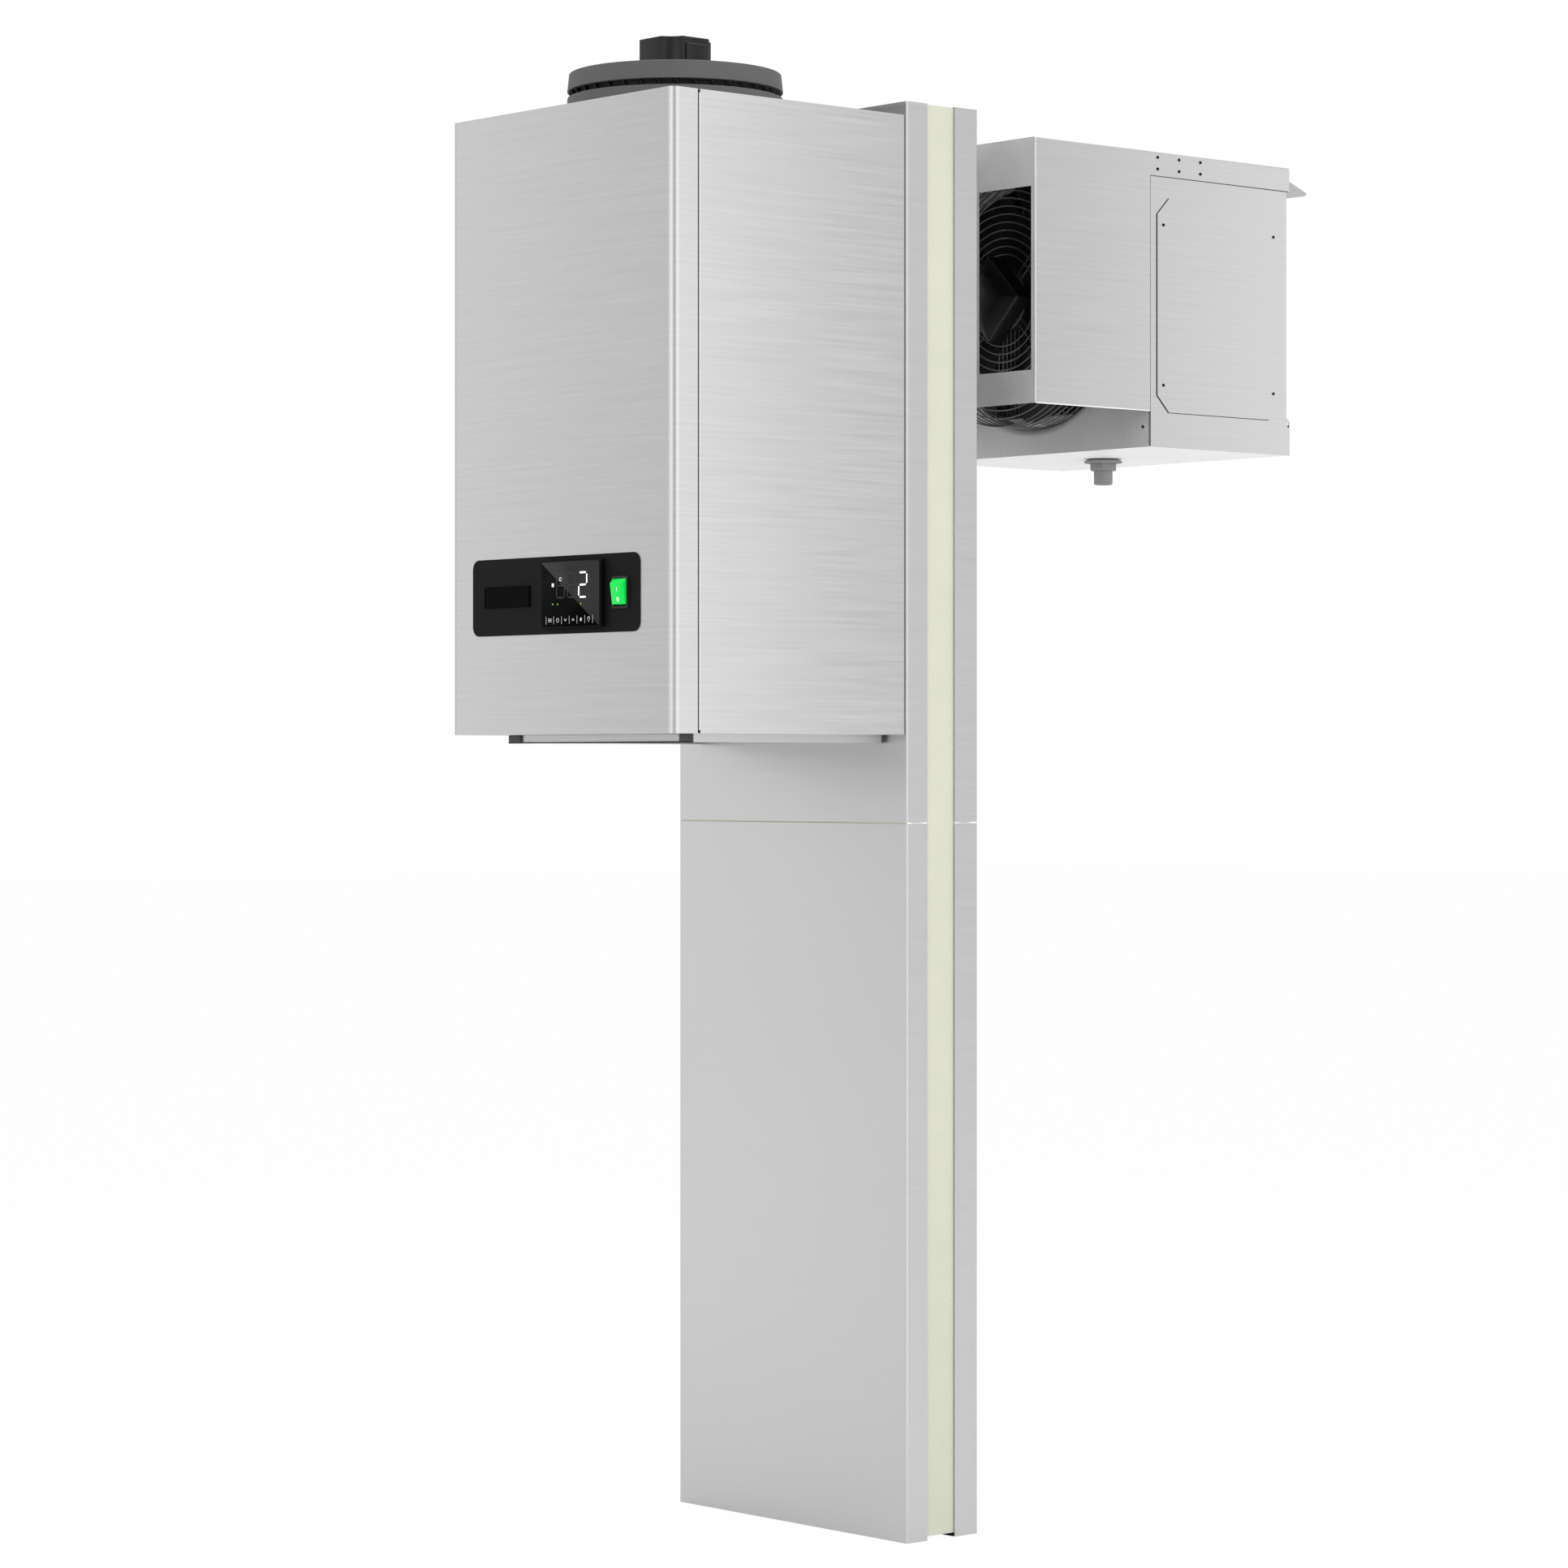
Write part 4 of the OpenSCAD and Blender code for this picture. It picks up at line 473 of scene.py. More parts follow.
# %% Assign finishes
FINISHES = {
    steel: ["neck_casing", "front_cover", "side_panel_left", "side_panel_right", "top_plate",
            "rear_plate", "base_plate", "evaporator_hood", "coil_side_panel_left",
            "coil_side_panel_right", "access_covers", "air_deflector", "outlet_grille",
            "filter_frame", "inlet_rails"],
    panel_steel: ["outer_skin_lower", "outer_skin_upper", "inner_skin_lower", "inner_skin_upper"],
    galvanised: ["hood_back_plate", "fan_plate", "compressor_shelf", "electrical_box",
                 "condenser_end_plates", "evaporator_end_plates"],
    tray_white: ["drip_tray"],
    foam: ["foam_core", "neck_foam"],
    grey_plastic: ["fan_collar", "fan_ring"],
    drain_plastic: ["drain_fitting"],
    wire_black: ["condenser_fan_guard", "evaporator_fan_guard"],
    motor_black: ["condenser_fan_motor", "evaporator_fan_motor"],
    blade_black: ["condenser_impeller", "evaporator_impeller"],
    control_black: ["control_plate", "blank_badge"],
    case_black: ["controller_housing", "switch_frame"],
    glass_black: ["controller_glass"],
    rocker_green: ["power_rocker"],
    gland_black: ["cable_gland"],
    white_plastic: ["terminal_block"],
    shell_paint: ["compressor_shell", "compressor_feet", "liquid_receiver"],
    rubber: ["rubber_mounts", "wall_gasket"],
    copper: ["refrigerant_pipes", "condenser_tubes", "evaporator_tubes", "filter_drier"],
    fin_metal: ["condenser_fins", "evaporator_fins"],
    wire_metal: ["filter_mesh"],
    screw_metal: ["housing_screws", "evaporator_screws", "tray_pivots"],
}
for finish, names in FINISHES.items():
    for name in names:
        node[name].data.materials.clear()
        node[name].data.materials.append(finish)
print("finished nodes", sum(len(names) for names in FINISHES.values()))

# %% [markdown]
# ## Modelling helpers
# The pieces below start as primitives and are shaped in edit mode. Operators act on whatever is
# selected, so every step begins by clearing the selection, and faces are picked in code.

# %% Helpers for modelling
def clear_selection():
    """Object mode, with nothing selected."""
    if bpy.context.mode != "OBJECT":
        bpy.ops.object.mode_set(mode="OBJECT")
    bpy.ops.object.select_all(action="DESELECT")


def take(piece):
    """Selects one piece alone."""
    clear_selection()
    piece.select_set(True)
    bpy.context.view_layer.objects.active = piece


def settle(piece, name=None):
    """Applies a piece's place, turn and scale to its mesh, and names it."""
    take(piece)
    bpy.ops.object.transform_apply(location=True, rotation=True, scale=True)
    if name:
        piece.name = name
        piece.data.name = name
    return piece


def finish_with(piece, *finishes):
    """Gives a piece its materials."""
    piece.data.materials.clear()
    for finish in finishes:
        piece.data.materials.append(finish)
    return piece


def join_all(name, pieces):
    """Joins pieces into one object at the origin."""
    for piece in pieces:
        settle(piece)
    clear_selection()
    for piece in pieces:
        piece.select_set(True)
    bpy.context.view_layer.objects.active = pieces[0]
    if len(pieces) > 1:
        bpy.ops.object.join()
    return settle(bpy.context.object, name)


def use_modifier(piece, kind, **settings):
    """Adds a modifier with its settings and applies it."""
    take(piece)
    step = piece.modifiers.new(kind.lower(), kind)
    for label, value in settings.items():
        setattr(step, label, value)
    bpy.ops.object.modifier_apply(modifier=step.name)
    return piece


def edit_faces(piece, test):
    """Enters edit mode with only the faces selected that pass a test of centre and normal."""
    take(piece)
    bpy.ops.object.mode_set(mode="EDIT")
    bpy.ops.mesh.select_mode(type="FACE")
    bpy.ops.mesh.select_all(action="DESELECT")
    mesh = bmesh.from_edit_mesh(piece.data)
    for face in mesh.faces:
        face.select_set(bool(test(face.calc_center_median(), face.normal)))
    bmesh.update_edit_mesh(piece.data)


def edit_edges(piece, test):
    """Enters edit mode with only the edges selected that pass a test of their two ends."""
    take(piece)
    bpy.ops.object.mode_set(mode="EDIT")
    bpy.ops.mesh.select_mode(type="EDGE")
    bpy.ops.mesh.select_all(action="DESELECT")
    mesh = bmesh.from_edit_mesh(piece.data)
    for edge in mesh.edges:
        edge.select_set(bool(test(edge.verts[0].co, edge.verts[1].co)))
    bmesh.update_edit_mesh(piece.data)


def end_edit():
    """Back to object mode."""
    bpy.ops.object.mode_set(mode="OBJECT")


def soften(piece, angle=35):
    """Smooth shading that keeps edges sharper than an angle."""
    take(piece)
    bpy.ops.object.shade_smooth_by_angle(angle=math.radians(angle))
    return piece


def copy_to(piece, name, turn=None, place=None):
    """A copy with its own mesh, turned about the origin and then moved."""
    twin = piece.copy()
    twin.data = piece.data.copy()
    bpy.context.scene.collection.objects.link(twin)
    if turn is not None:
        twin.rotation_euler = turn
    if place is not None:
        twin.location = place
    return settle(twin, name)


def rounded_block(low, high, radius, segments=3):
    """A block between two corners with every edge rounded."""
    clear_selection()
    centre = [(a + b) / 2 for a, b in zip(low, high)]
    bpy.ops.mesh.primitive_cube_add(size=1, location=centre)
    block = bpy.context.object
    block.scale = [b - a for a, b in zip(low, high)]
    settle(block)
    use_modifier(block, "BEVEL", width=radius, segments=segments, limit_method="NONE")
    return soften(block)


def ride_on(body, slot, *pieces):
    """Ties pieces to a CAD body; the slot argument is not used."""
    for piece in pieces:
        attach(piece, body)


print("helpers ready")

# %% [markdown]
# ## Wire guards
# Both fans sit behind guards of round welded wire: rings held by four pairs of straight spokes.
# A ring is a torus primitive, and a spoke is a curve with a round bevel that is turned into a
# mesh, because that gives a clean bend where the spoke turns down the side of the basket.

# %% Rings and wires
WIRE = 1.0 * MM
RING_PITCH = 10.6 * MM
SPOKE_GAP = 9 * MM


def wire_ring(centre, turn, radius, thickness=WIRE):
    """One round ring of wire."""
    clear_selection()
    bpy.ops.mesh.primitive_torus_add(
        location=centre, rotation=turn, major_radius=radius, minor_radius=thickness,
        major_segments=96, minor_segments=8)
    return bpy.context.object


def rounded_route(corners, bend, steps=5):
    """A route through corners, each inner corner rounded."""
    route = [Vector(corners[0])]
    for before, here, after in zip(corners, corners[1:], corners[2:]):
        before, here, after = Vector(before), Vector(here), Vector(after)
        start = here + (before - here).normalized() * bend
        stop = here + (after - here).normalized() * bend
        for i in range(steps + 1):
            t = i / steps
            route.append(start.lerp(here, t).lerp(here.lerp(stop, t), t))
    route.append(Vector(corners[-1]))
    return route


def bent_wire(route, thickness=WIRE, sides=2):
    """A round wire along a route, with closed ends."""
    curve = bpy.data.curves.new("wire", "CURVE")
    curve.dimensions = "3D"
    curve.bevel_depth = thickness
    curve.bevel_resolution = sides
    curve.use_fill_caps = True
    spline = curve.splines.new("POLY")
    spline.points.add(len(route) - 1)
    for point, spot in zip(spline.points, route):
        point.co = (*spot, 1)
    wire = bpy.data.objects.new("wire", curve)
    bpy.context.scene.collection.objects.link(wire)
    take(wire)
    bpy.ops.object.convert(target="MESH")
    return bpy.context.object


print("wire helpers ready")

# %% [markdown]
# ### Roof fan guard
# The flat guard lies inside the fan's ring, just below the motor. Its rings step inward at one
# pitch until the motor's plate takes over.

# %% Roof fan guard
ROOF_FAN = Vector((0, -0.24975, 1.813))
ROOF_GUARD_RADIUS = 0.1181
ROOF_SPOKE_REACH = 0.1235
SPOKE_START = 0.03
HUB_THICKNESS = 0.0039
HUB_EDGE = 0.0006
QUARTERS = [math.radians(45 + 90 * quarter) for quarter in range(4)]


def hub_disc(radius, place, turn=(0, 0, 0)):
    """The round plate that the spokes are welded to."""
    clear_selection()
    bpy.ops.mesh.primitive_cylinder_add(
        vertices=48, radius=radius, depth=HUB_THICKNESS, location=place, rotation=turn)
    disc = bpy.context.object
    return use_modifier(disc, "BEVEL", width=HUB_EDGE, segments=2, angle_limit=math.radians(40))


parts = [wire_ring(ROOF_FAN, (0, 0, 0), ROOF_GUARD_RADIUS - i * RING_PITCH) for i in range(7)]
for angle in QUARTERS:
    for side in (-1, 1):
        out = Vector((math.cos(angle), math.sin(angle), 0))
        across = Vector((-out.y, out.x, 0)) * side * SPOKE_GAP / 2
        low = ROOF_FAN + Vector((0, 0, -0.0018))
        start = low + across
        parts.append(bent_wire([start + out * SPOKE_START, start + out * ROOF_SPOKE_REACH]))
parts.append(hub_disc(0.0363, ROOF_FAN + Vector((0, 0, -0.0007))))
roof_guard = soften(finish_with(join_all("roof_fan_guard", parts), wire_black))
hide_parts("condenser_fan_guard")
ride_on("unit", "black_wire", roof_guard)
print(roof_guard.name, len(roof_guard.data.polygons), "faces")

# %% [markdown]
# ### Basket guard of the cold fan
# The deep basket stands in front of the fan plate: flat rings on its face, more rings down its
# side, and spokes that bend round the rim and end in lugs screwed to the plate.

# %% Basket guard
COLD_FAN = Vector((0, 0.3143, 1.574))
FACE_UP = (math.pi / 2, 0, 0)
RIM = 0.1667
SIDE_PITCH = 0.01128
BASKET_DEPTH = 0.0538
SPOKE_BEND = 0.006
LUG_PLACE = 0.3706
parts = [wire_ring(COLD_FAN, FACE_UP, RIM - i * RING_PITCH) for i in range(11)]
parts += [wire_ring(COLD_FAN + Vector((0, SIDE_PITCH * i, 0)), FACE_UP, RIM) for i in range(1, 6)]
for angle in QUARTERS:
    out = Vector((math.cos(angle), 0, math.sin(angle)))
    across = Vector((-out.z, 0, out.x))
    for side in (-1, 1):
        base = COLD_FAN + Vector((0, 2 * WIRE, 0)) + across * side * SPOKE_GAP / 2
        rim = base + out * (RIM - 2 * WIRE)
        foot = rim + Vector((0, BASKET_DEPTH, 0))
        parts.append(bent_wire(rounded_route([base + out * SPOKE_START, rim, foot], SPOKE_BEND)))
    lug = rounded_block((0.1630, -0.007, -0.0013), (0.197, 0.007, 0.0013), 0.0006, 2)
    lug.rotation_euler = (math.pi / 2, -angle, 0)
    lug.location = (COLD_FAN.x, LUG_PLACE, COLD_FAN.z)
    parts.append(lug)
parts.append(hub_disc(0.0416, COLD_FAN + Vector((0, 0.0007, 0)), FACE_UP))
basket_guard = soften(finish_with(join_all("basket_guard", parts), wire_black))
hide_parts("evaporator_fan_guard")
ride_on("unit", "black_wire", basket_guard)
print(basket_guard.name, len(basket_guard.data.polygons), "faces")

# %% [markdown]
# ## Fan motors
# Both motors are cast boxes. The roof motor has hollow corners for its through bolts and a softly
# rounded top; the cold side's motor is turned onto its corner and ends in a shallow pyramid.

# %% Roof motor
MOTOR_WIDTH = 0.0805
MOTOR_TOP = 1.856
clear_selection()
bpy.ops.mesh.primitive_cube_add(size=1, location=(0, ROOF_FAN.y, 1.8361))
roof_motor = bpy.context.object
roof_motor.scale = (MOTOR_WIDTH, MOTOR_WIDTH, 0.0436)
settle(roof_motor, "roof_motor")
edit_edges(roof_motor, lambda a, b: abs(a.z - b.z) > 0.01)
bpy.ops.mesh.bevel(offset=0.0185, segments=10, profile=0.12, affect="EDGES")
end_edit()
edit_edges(roof_motor, lambda a, b: abs(a.z - b.z) > 0.01 and (
    abs(abs(a.x) - MOTOR_WIDTH / 2) < 1e-4
    or abs(abs(a.y - ROOF_FAN.y) - MOTOR_WIDTH / 2) < 1e-4))
bpy.ops.mesh.bevel(offset=0.0016, segments=3, affect="EDGES")
end_edit()
edit_edges(roof_motor, lambda a, b: a.z > MOTOR_TOP and b.z > MOTOR_TOP)
bpy.ops.mesh.bevel(offset=0.0012, segments=3, affect="EDGES")
end_edit()
soften(finish_with(roof_motor, motor_black), 30)
LOBE_HALF = 0.017
lobe_low = (0.0395, ROOF_FAN.y - LOBE_HALF, 1.8156)
lobe_high = (0.0428, ROOF_FAN.y + LOBE_HALF, 1.8500)
lobe = rounded_block(lobe_low, lobe_high, 0.0014)
roof_motor = finish_with(join_all("roof_motor", [roof_motor, lobe]), motor_black)
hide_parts("condenser_fan_motor")
ride_on("unit", "motor_black", roof_motor)
print(roof_motor.name, len(roof_motor.data.polygons), "faces")

# %% Cold fan motor
clear_selection()
bpy.ops.mesh.primitive_cube_add(
    size=1, location=(0, 0.29975, COLD_FAN.z), rotation=(0, math.radians(45), 0))
cold_motor = bpy.context.object
cold_motor.scale = (MOTOR_WIDTH, 0.0265, MOTOR_WIDTH)
settle(cold_motor, "cold_fan_motor")
edit_faces(cold_motor, lambda c, n: n.y < -0.9)
bpy.ops.mesh.extrude_region_move(TRANSFORM_OT_translate={"value": (0, -0.0095, 0)})
bpy.ops.transform.resize(value=(0.62, 1, 0.62))
bpy.ops.mesh.inset(thickness=0.012)
bpy.ops.transform.translate(value=(0, -0.002, 0))
end_edit()
use_modifier(cold_motor, "BEVEL", width=0.0022, segments=3, limit_method="ANGLE",
             angle_limit=math.radians(10))
soften(finish_with(cold_motor, motor_black))
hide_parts("evaporator_fan_motor")
ride_on("unit", "motor_black", cold_motor)
print(cold_motor.name, [round(v, 4) for v in cold_motor.dimensions])

# %% [markdown]
# ## Screws
# The unit is held together by small black screws. One round head with a round recess is made by
# insetting and extruding a short cylinder, and is then copied to every place.

# %% One screw head
clear_selection()
bpy.ops.mesh.primitive_cylinder_add(vertices=16, radius=0.002, depth=0.0008, location=(0, 0, 0.0004))
screw = bpy.context.object
settle(screw, "screw_head")
edit_faces(screw, lambda c, n: n.z > 0.9)
bpy.ops.mesh.inset(thickness=0.0005)
bpy.ops.transform.translate(value=(0, 0, 0.0003))
bpy.ops.mesh.inset(thickness=0.0006)
bpy.ops.transform.translate(value=(0, 0, 0.0001))
bpy.ops.mesh.inset(thickness=0.0003)
bpy.ops.transform.translate(value=(0, 0, -0.0007))
end_edit()
soften(screw, 50)
print(screw.name, len(screw.data.polygons), "faces")

# %% Copies of the screw
TO_RIGHT = (0, math.radians(90), 0)
TO_LEFT = (0, math.radians(-90), 0)
TO_FRONT = (math.radians(90), 0, 0)


def screws_at(name, spots):
    """Copies the screw head to spots of place and turn, as one piece."""
    heads = [copy_to(screw, "head", turn, place) for place, turn in spots]
    return finish_with(join_all(name, heads), screw_metal)


def node_islands(name):
    """The middles and extents of the separate solids of a CAD node."""
    mesh = bmesh.new()
    mesh.from_mesh(node[name].data)
    bmesh.ops.remove_doubles(mesh, verts=mesh.verts, dist=1e-6)
    left = set(mesh.verts)
    found = []
    while left:
        stack, seen = [left.pop()], []
        while stack:
            here = stack.pop()
            seen.append(here.co.copy())
            for edge in here.link_edges:
                far = edge.other_vert(here)
                if far in left:
                    left.remove(far)
                    stack.append(far)
        low = Vector([min(v[i] for v in seen) for i in range(3)])
        high = Vector([max(v[i] for v in seen) for i in range(3)])
        found.append((low, high))
    mesh.free()
    return found


HEAD_HEIGHT = 0.002
for source, name in (("evaporator_screws", "cold_side_screws"), ("housing_screws", "roof_screws")):
    spots = []
    for low, high in node_islands(source):
        size = high - low
        middle = (low + high) / 2
        if size.x < HEAD_HEIGHT:
            turn = TO_RIGHT if middle.x > 0 else TO_LEFT
            spots.append(((low.x if middle.x > 0 else high.x, middle.y, middle.z), turn))
        elif size.y < HEAD_HEIGHT:
            spots.append(((middle.x, high.y, middle.z), TO_FRONT))
        else:
            spots.append(((middle.x, middle.y, low.z), None))
    heads = screws_at(name, spots)
    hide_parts(source)
    ride_on("unit", "screw_black", heads)
    print(name, len(spots), "screws")

LUG_SCREW_RADIUS = 0.189
LUG_FACE = 0.3693
lug_spots = []
for angle in QUARTERS:
    lug_x = LUG_SCREW_RADIUS * math.cos(angle)
    lug_z = COLD_FAN.z + LUG_SCREW_RADIUS * math.sin(angle)
    lug_spots.append(((lug_x, LUG_FACE, lug_z), TO_FRONT))
lug_screws = screws_at("basket_screws", lug_spots)
ride_on("unit", "screw_black", lug_screws)
bpy.data.objects.remove(screw)

# %% [markdown]
# ## Control panel
# A satin black plate carries three things: a raised glossy badge that is left bare, a touch
# controller with a smoked glass front, and a lit rocker switch in its frame.

# %% Badge
FACE = -0.435
BADGE_LOW = (-0.1445, FACE - 0.0024, 1.153)
BADGE_HIGH = (-0.0545, FACE + 0.0002, 1.179)
badge = rounded_block(BADGE_LOW, BADGE_HIGH, 0.0010, 3)
edit_faces(badge, lambda c, n: n.y < -0.9)
bpy.ops.mesh.inset(thickness=0.0022)
bpy.ops.transform.translate(value=(0, 0.0006, 0))
end_edit()
soften(finish_with(settle(badge, "bare_badge"), badge_gloss))
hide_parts("blank_badge")
ride_on("unit", "control_black", badge)
print(badge.name)

# %% Controller case
case = rounded_block((-0.024, -0.4424, 1.1255), (0.0905, -0.4350, 1.2065), 0.0014, 4)
edit_faces(case, lambda c, n: n.y < -0.95)
bpy.ops.mesh.inset(thickness=0.0011)
bpy.ops.transform.translate(value=(0, 0.0003, 0))
end_edit()
soften(finish_with(settle(case, "controller_bezel"), case_black))
ride_on("unit", "control_black", case)

clear_selection()
bpy.ops.mesh.primitive_cube_add(size=1, location=(0.03325, -0.4426, 1.166))
glass = bpy.context.object
glass.scale = (0.1125, 0.0008, 0.079)
settle(glass, "controller_front")
edit_edges(glass, lambda a, b: abs(a.y - b.y) > 1e-4)
bpy.ops.mesh.bevel(offset=0.0035, segments=6, affect="EDGES")
end_edit()
edit_edges(glass, lambda a, b: a.y < -0.4429 and b.y < -0.4429)
bpy.ops.mesh.bevel(offset=0.0004, segments=2, affect="EDGES")
end_edit()
# The upper right half of the front, cut off along the diagonal, takes the lighter grey of a painted
# reflection.
finish_with(glass, glass_black, glass_painted_reflection)
MIDDLE = Vector((0.03325, -0.4430, 1.166))
PAINTED_REFLECTION_CUT = Vector((0.079, 0, 0.1125)).normalized()
edit_faces(glass, lambda c, n: True)
bpy.ops.mesh.bisect(plane_co=MIDDLE, plane_no=PAINTED_REFLECTION_CUT)
end_edit()
for face in glass.data.polygons:
    if face.normal.y < -0.9 and (face.center - MIDDLE).dot(PAINTED_REFLECTION_CUT) > 0:
        face.material_index = 1
soften(glass)
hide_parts("controller_glass")
ride_on("unit", "display_glass", glass)
print(case.name, glass.name)

# %% [markdown]
# ### Display
# The figures are bars with slanted ends, seven to a place. One bar is a flat six-sided outline;
# the lit place is white, and the two unlit places show as faint outlines. Marks below are a row
# of plain touch symbols between short dividers.

# %% Display helpers
GLASS = -0.4430
MARK_LIFT = 0.00004
BAR_GAP = 0.25


def flat_shape(corners):
    """A flat outline on the glass, given in X and Z in millimetres, facing the outside."""
    mesh = bpy.data.meshes.new("mark")
    spots = [(x * MM, GLASS - MARK_LIFT, z * MM) for x, z in corners]
    mesh.from_pydata(spots, [], [tuple(range(len(spots)))])
    shape = bpy.data.objects.new("mark", mesh)
    bpy.context.scene.collection.objects.link(shape)
    edit_faces(shape, lambda c, n: True)
    if shape.data.polygons[0].normal.y > 0:
        bpy.ops.mesh.flip_normals()
    end_edit()
    return shape


def bar(x0, z0, x1, z1, width):
    """A display bar with pointed ends."""
    half = width / 2
    if abs(x1 - x0) > abs(z1 - z0):
        outline = [(x0, z0), (x0 + half, z0 + half), (x1 - half, z1 + half),
                   (x1, z1), (x1 - half, z1 - half), (x0 + half, z0 - half)]
    else:
        outline = [(x0, z0), (x0 - half, z0 + half), (x1 - half, z1 - half),
                   (x1, z1), (x1 + half, z1 - half), (x0 + half, z0 + half)]
    return flat_shape(outline)


def figure(x0, x1, z0, z1, width, which):
    """The bars of a seven-bar figure that are named by their letters."""
    mid = (z0 + z1) / 2
    g = width / 2 + BAR_GAP
    spans = {"a": (x0 + g, z1, x1 - g, z1), "g": (x0 + g, mid, x1 - g, mid),
             "d": (x0 + g, z0, x1 - g, z0),
             "b": (x1, mid + g, x1, z1 - g), "c": (x1, z0 + g, x1, mid - g),
             "f": (x0, mid + g, x0, z1 - g), "e": (x0, z0 + g, x0, mid - g)}
    return [bar(*spans[letter], width) for letter in which]


def ring_mark(x, z, radius, width, start=0, sweep=360, steps=20):
    """An arc of a thin line on the glass, as a row of flat four-sided shapes."""
    marks = []
    count = max(3, int(steps * sweep / 360))
    for i in range(count):
        a, b = (math.radians(start + sweep * k / count) for k in (i, i + 1))
        corners = [(x + r * math.cos(t), z + r * math.sin(t)) for r, t in
                   ((radius, a), (radius + width, a), (radius + width, b), (radius, b))]
        marks.append(flat_shape(corners))
    return marks


def line_mark(x0, z0, x1, z1, width):
    """A straight line on the glass."""
    way = Vector((x1 - x0, z1 - z0)).normalized() * width / 2
    return flat_shape([(x0 - way.y, z0 + way.x), (x1 - way.y, z1 + way.x),
                       (x1 + way.y, z1 - way.x), (x0 + way.y, z0 - way.x)])


def dot_mark(x, z, radius, sides=12):
    """A filled round mark on the glass."""
    turns = [2 * math.pi * i / sides for i in range(sides)]
    return flat_shape([(x + radius * math.cos(t), z + radius * math.sin(t)) for t in turns])


def display_piece(name, marks, finish):
    """Joins marks into one piece on the controller."""
    piece = finish_with(join_all(name, marks), finish)
    ride_on("unit", "display_glass", piece)
    print(name, len(piece.data.polygons), "faces")
    return piece


# %% Figures and lamps
# All places and widths on the display are in millimetres.
FIGURE_FOOT = 1162.0
FIGURE_TOP = 1191.6
LIT_BAR = 2.2
UNLIT_BAR = 1.6
display_piece("lit_figure", figure(50.2, 65.4, FIGURE_FOOT, FIGURE_TOP, LIT_BAR, "abged"), lit_white)
unlit = []
for x0, x1 in ((7.2, 22.4), (28.2, 43.4)):
    unlit += figure(x0, x1, FIGURE_FOOT, FIGURE_TOP, UNLIT_BAR, "abcdefg")
display_piece("unlit_figures", unlit, unlit_grey)
square_lamp = flat_shape(((-2.2, 1175.4), (2.2, 1175.4), (2.2, 1179.8), (-2.2, 1179.8)))
round_lamp = ring_mark(14.5, 1184.5, 1.6, 0.8)
display_piece("small_lit_marks", [square_lamp] + round_lamp, lit_dim)
LAMP_SPOTS = ((-0.3, 1154.5), (9.2, 1154.2), (54.0, 1153.9))
display_piece("status_lamps", [dot_mark(x, z, 1.0) for x, z in LAMP_SPOTS], lit_green)

# %% Row of touch symbols
TOUCH_PITCH = 15.02
FIRST_DIVIDER = -13.4
FIRST_SYMBOL = -5.9
LEVEL = 1135.0
DIVIDER_HALF = 4.8


def symbol(spot, *lines):
    """Straight lines of one symbol; each is X and Z of its ends from the middle, and a width."""
    return [line_mark(spot + x0, LEVEL + z0, spot + x1, LEVEL + z1, width)
            for x0, z0, x1, z1, width in lines]


row = []
for i in range(7):
    row += symbol(FIRST_DIVIDER + TOUCH_PITCH * i, (0, -DIVIDER_HALF, 0, DIVIDER_HALF, 0.45))
menu, power, down, up, frost, bell = (FIRST_SYMBOL + TOUCH_PITCH * i for i in range(6))
row += symbol(menu, *((-3.6, k, 3.6, k, 0.5) for k in (-1.6, 0.1, 1.8)))
row += ring_mark(power, LEVEL, 2.2, 0.5, 120, 300)
row += symbol(power, (0, 0.6, 0, 3.0, 0.5))
row += symbol(down, (-2.2, 1.4, 0, -1.4, 0.7), (0, -1.4, 2.2, 1.4, 0.7))
row += symbol(up, (-2.2, -1.4, 0, 1.4, 0.7), (0, 1.4, 2.2, -1.4, 0.7))
for t in (math.radians(a) for a in (30, 90, 150)):
    arm_x = 2.6 * math.cos(t)
    arm_z = 2.6 * math.sin(t)
    row += symbol(frost, (-arm_x, -arm_z, arm_x, arm_z, 0.6))
row += ring_mark(bell, LEVEL + 0.8, 1.7, 0.6, -50, 280)
row += symbol(bell, (-1.0, -2.4, 1.0, -2.4, 0.7))
display_piece("touch_symbols", row, lit_dim)

# %% [markdown]
# ### Rocker switch
# The frame is a black surround a little taller than the rocker. The rocker's two faces meet in a
# ridge; the lower, larger face carries the marks for on and off.

# %% Rocker
RIDGE_HEIGHT = 1.1765
ROCKER_FOOT = 1.1516
RIDGE_FACE = -0.4426
FOOT_FACE = -0.4392
TOP_FACE = -0.4385
clear_selection()
low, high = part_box("power_rocker")
bpy.ops.mesh.primitive_cube_add(size=1, location=((low.x + high.x) / 2, -0.4340, 1.1668))
rocker = bpy.context.object
rocker.scale = (high.x - low.x, 0.0150, 0.0304)
settle(rocker, "rocker_cap")
edit_faces(rocker, lambda c, n: abs(n.y) < 0.1 and abs(n.z) < 0.1 or n.y < -0.9 or n.y > 0.9)
bpy.ops.mesh.bisect(plane_co=(0, 0, RIDGE_HEIGHT), plane_no=(0, 0, 1))
end_edit()
for vertex in rocker.data.vertices:
    if vertex.co.y < -0.435:
        if vertex.co.z > 1.1800:
            vertex.co.y = TOP_FACE
        elif vertex.co.z > 1.1700:
            vertex.co.y = RIDGE_FACE
        else:
            vertex.co.y = FOOT_FACE
use_modifier(rocker, "BEVEL", width=0.0007, segments=3, limit_method="ANGLE",
             angle_limit=math.radians(8))
soften(finish_with(rocker, rocker_green), 20)
finish_with(node["switch_frame"], frame_grey)
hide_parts("power_rocker")
ride_on("rocker", "rocker_green", rocker)
